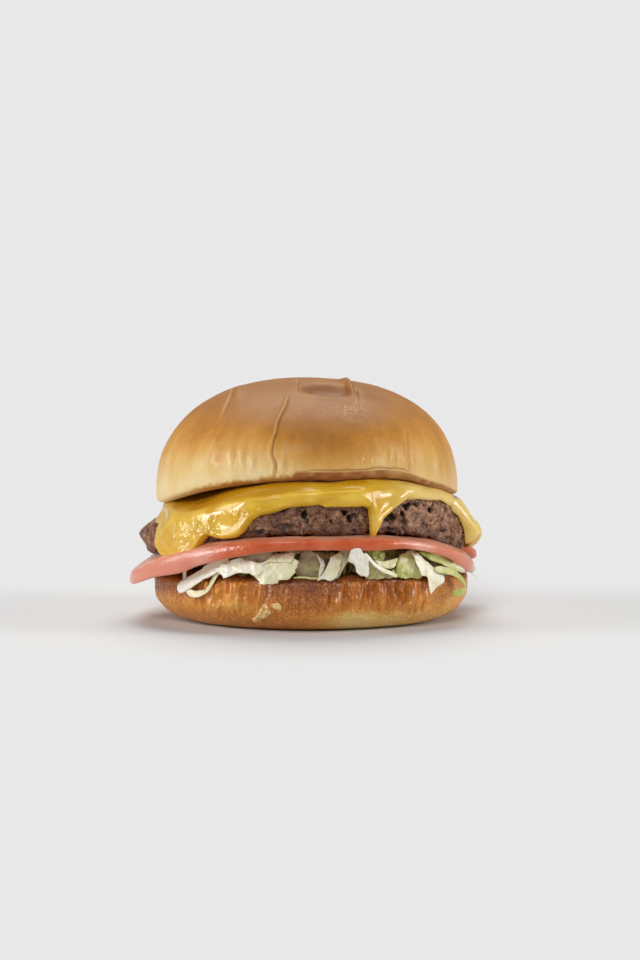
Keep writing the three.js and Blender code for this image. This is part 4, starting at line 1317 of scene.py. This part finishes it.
def shred_tree(material):
    """Short bent shreds scattered over the wall of a skin."""
    tree, given, spots = scatter_tree("lettuce_shreds", [
        "Shreds per square metre", "Shred length", "Shred width", "Shred thickness"], 9)
    path = add(tree, "GeometryNodeCurveQuadraticBezier", {
        "Resolution": 7, "Start": (-0.5, 0, 0), "Middle": (0.0, 0.15, 0.5), "End": (0.5, 0.0, 0)})
    ring = add(tree, "GeometryNodeCurvePrimitiveCircle", {"Resolution": 8, "Radius": 0.5})
    size = add(tree, "CombineXYZ", {
        "X": given.outputs["Shred width"], "Y": given.outputs["Shred thickness"], "Z": 1.0})
    section = add(tree, "GeometryNodeTransform", {"Geometry": ring, "Scale": size})
    long_path = add(tree, "GeometryNodeTransform", {
        "Geometry": path, "Scale": given.outputs["Shred length"]})
    shred = add(tree, "GeometryNodeCurveToMesh", {
        "Curve": long_path, "Profile Curve": section, "Fill Caps": True})
    spin = add(tree, "FunctionNodeRandomValue", {0: (-0.5, -0.5, 0), 1: (0.5, 0.5, TURN), "Seed": 10},
               data_type="FLOAT_VECTOR")
    stretch = add(tree, "FunctionNodeRandomValue", {2: 0.7, 3: 1.4, "Seed": 11}, data_type="FLOAT")
    placed = add(tree, "GeometryNodeInstanceOnPoints", {
        "Points": spots.outputs["Points"], "Instance": shred, "Rotation": spots.outputs["Rotation"],
        "Scale": stretch.outputs[1]})
    turned = add(tree, "GeometryNodeRotateInstances", {"Instances": placed, "Rotation": spin.outputs[0]})
    green = add(tree, "FunctionNodeRandomValue", {2: 0.2, 3: 0.85, "Seed": 12}, data_type="FLOAT")
    for name, value in (("green", green.outputs[1]), ("shade", 0.45)):
        turned = add(tree, "GeometryNodeStoreNamedAttribute", {
            "Geometry": turned, "Name": name, "Value": value}, data_type="FLOAT", domain="INSTANCE")
    return end_tree(tree, turned, material)


def side_leaves():
    """Leaves round the sides and the back of the heap, each one of the front's, enlarged and turned."""
    dice = np.random.default_rng(12)
    leaves = []
    for seed in range(SIDE_LEAVES):
        outline, reaches, greens, shade = LEAVES[dice.integers(len(LEAVES))]
        centre = np.mean(outline, axis=0)
        turn = math.radians(67 + 213 * (seed + 0.7 * dice.random()) / SIDE_LEAVES)
        middle = np.array([HEEL_CENTRE_X, centre[1]])
        bigger = middle + (np.array(outline) - centre) * 1.25
        leaves.append(leaf(bigger, reaches, greens, shade * 0.5, 50 + seed, turn,
                           flip=dice.random() < 0.5, fineness=0.65))
    return leaves


def make_lettuce():
    """The heap: a core, loose shreds on it, and leaves in front and round the sides."""
    material = lettuce_material()
    core = lettuce_core()
    make_piece("lettuce_core", core, material, ["lettuce_heap"])
    grow("lettuce_shreds", core, shred_tree(material), {
        "Shreds per square metre": 60000.0, "Shred length": 7 * MM, "Shred width": 2.2 * MM,
        "Shred thickness": 0.45 * MM}, material)
    front = [leaf(*shape, seed) for seed, shape in enumerate(LEAVES)]
    front += [strip(*shape, 30 + seed) for seed, shape in enumerate(STRIPS)]
    make_piece("lettuce_front_leaves", join(front), material)
    make_piece("lettuce_side_leaves", join(side_leaves()), material)


# --- Camera, light and floor ------------------------------------------------------------------

LOOK_AT = (4.7, 1.2, 46.3)
CAMERA_AWAY = 1100
CAMERA_RISE = math.radians(5)
LENS = 121
ROOM_LIGHT = 0.12
BACKDROP_SHINE = 0.27
FLOOR_TONE = "d2d2d2"


def make_camera():
    camera = bpy.data.objects.new("camera", bpy.data.cameras.new("camera"))
    camera.data.lens = LENS
    camera.data.sensor_width = 36
    camera.data.clip_start = 0.05
    camera.data.clip_end = 30
    camera.location = (
        LOOK_AT[0] * MM,
        (LOOK_AT[1] - CAMERA_AWAY * math.cos(CAMERA_RISE)) * MM,
        (LOOK_AT[2] + CAMERA_AWAY * math.sin(CAMERA_RISE)) * MM)
    camera.rotation_euler = (0.5 * math.pi - CAMERA_RISE, 0, 0)
    bpy.context.scene.collection.objects.link(camera)
    bpy.context.scene.camera = camera


def make_softbox(name, azimuth, rise, spread, strength, shine_only=False):
    """A far softbox as an even light; angles in degrees, azimuth from +X towards +Y."""
    light = bpy.data.lights.new(name, "SUN")
    light.angle = math.radians(spread)
    light.energy = strength
    lamp = bpy.data.objects.new(name, light)
    lamp.rotation_euler = (math.radians(90 - rise), 0, math.radians(azimuth + 90))
    lamp.visible_diffuse = not shine_only
    bpy.context.scene.collection.objects.link(lamp)


def make_studio():
    # The room is dim, so the skin facing the camera keeps its depth of colour. The backdrop is as
    # pale as the floor, and shiny skins reflect some of it.
    world = bpy.data.worlds.new("studio_air")
    world.use_nodes = True
    tree = world.node_tree
    tree.nodes.clear()
    room = add(tree, "Background", {"Color": linear("ffffff"), "Strength": ROOM_LIGHT})
    backdrop = add(tree, "Background", {"Color": linear("e9e9e9"), "Strength": 1.0})
    ray = add(tree, "LightPath")
    share = add(tree, "Math", {
        0: ray.outputs["Is Glossy Ray"], 1: BACKDROP_SHINE, 2: ray.outputs["Is Camera Ray"]},
        operation="MULTIPLY_ADD")
    mixed = add(tree, "MixShader", {0: share, 1: room, 2: backdrop})
    add(tree, "OutputWorld", {"Surface": mixed})
    bpy.context.scene.world = world
    make_softbox("rear_top_softbox", 90, 62, 50, 2.3)
    make_softbox("left_softbox", 188, 20, 28, 1.4)
    make_softbox("right_softbox", -6, 20, 28, 1.4)
    make_softbox("front_top_softbox", -102, 38, 18, 0.95)
    # Two strips beside the camera put a shine on wet and greasy skins, and no light on matt ones.
    make_softbox("left_strip", -148, 9, 16, 1.6, shine_only=True)
    make_softbox("right_strip", -24, 9, 16, 1.1, shine_only=True)


def make_floor():
    # Matt studio paper, so even that only the shadow shows.
    material, tree, place = new_material("matt_studio_paper")
    paper = add(tree, "BsdfDiffuse", {"Color": linear(FLOOR_TONE), "Roughness": 0.0})
    covered(material, paper)
    around = np.arange(96) * TURN / 96
    points = [(30 * math.cos(turn), 30 * math.sin(turn), 0.0) for turn in around]
    mesh = bpy.data.meshes.new("studio_floor")
    mesh.from_pydata(points, [], [tuple(range(len(points)))])
    mesh.materials.append(material)
    floor = bpy.data.objects.new("studio_floor", mesh)
    bpy.context.scene.collection.objects.link(floor)


# --- The whole burger -------------------------------------------------------------------------

bpy.context.scene.view_settings.view_transform = "Standard"
make_camera()
make_studio()
make_floor()
make_heel()
make_crumbs()
make_lettuce()
make_tomatoes()
make_patty()
make_cheese()
make_crown()
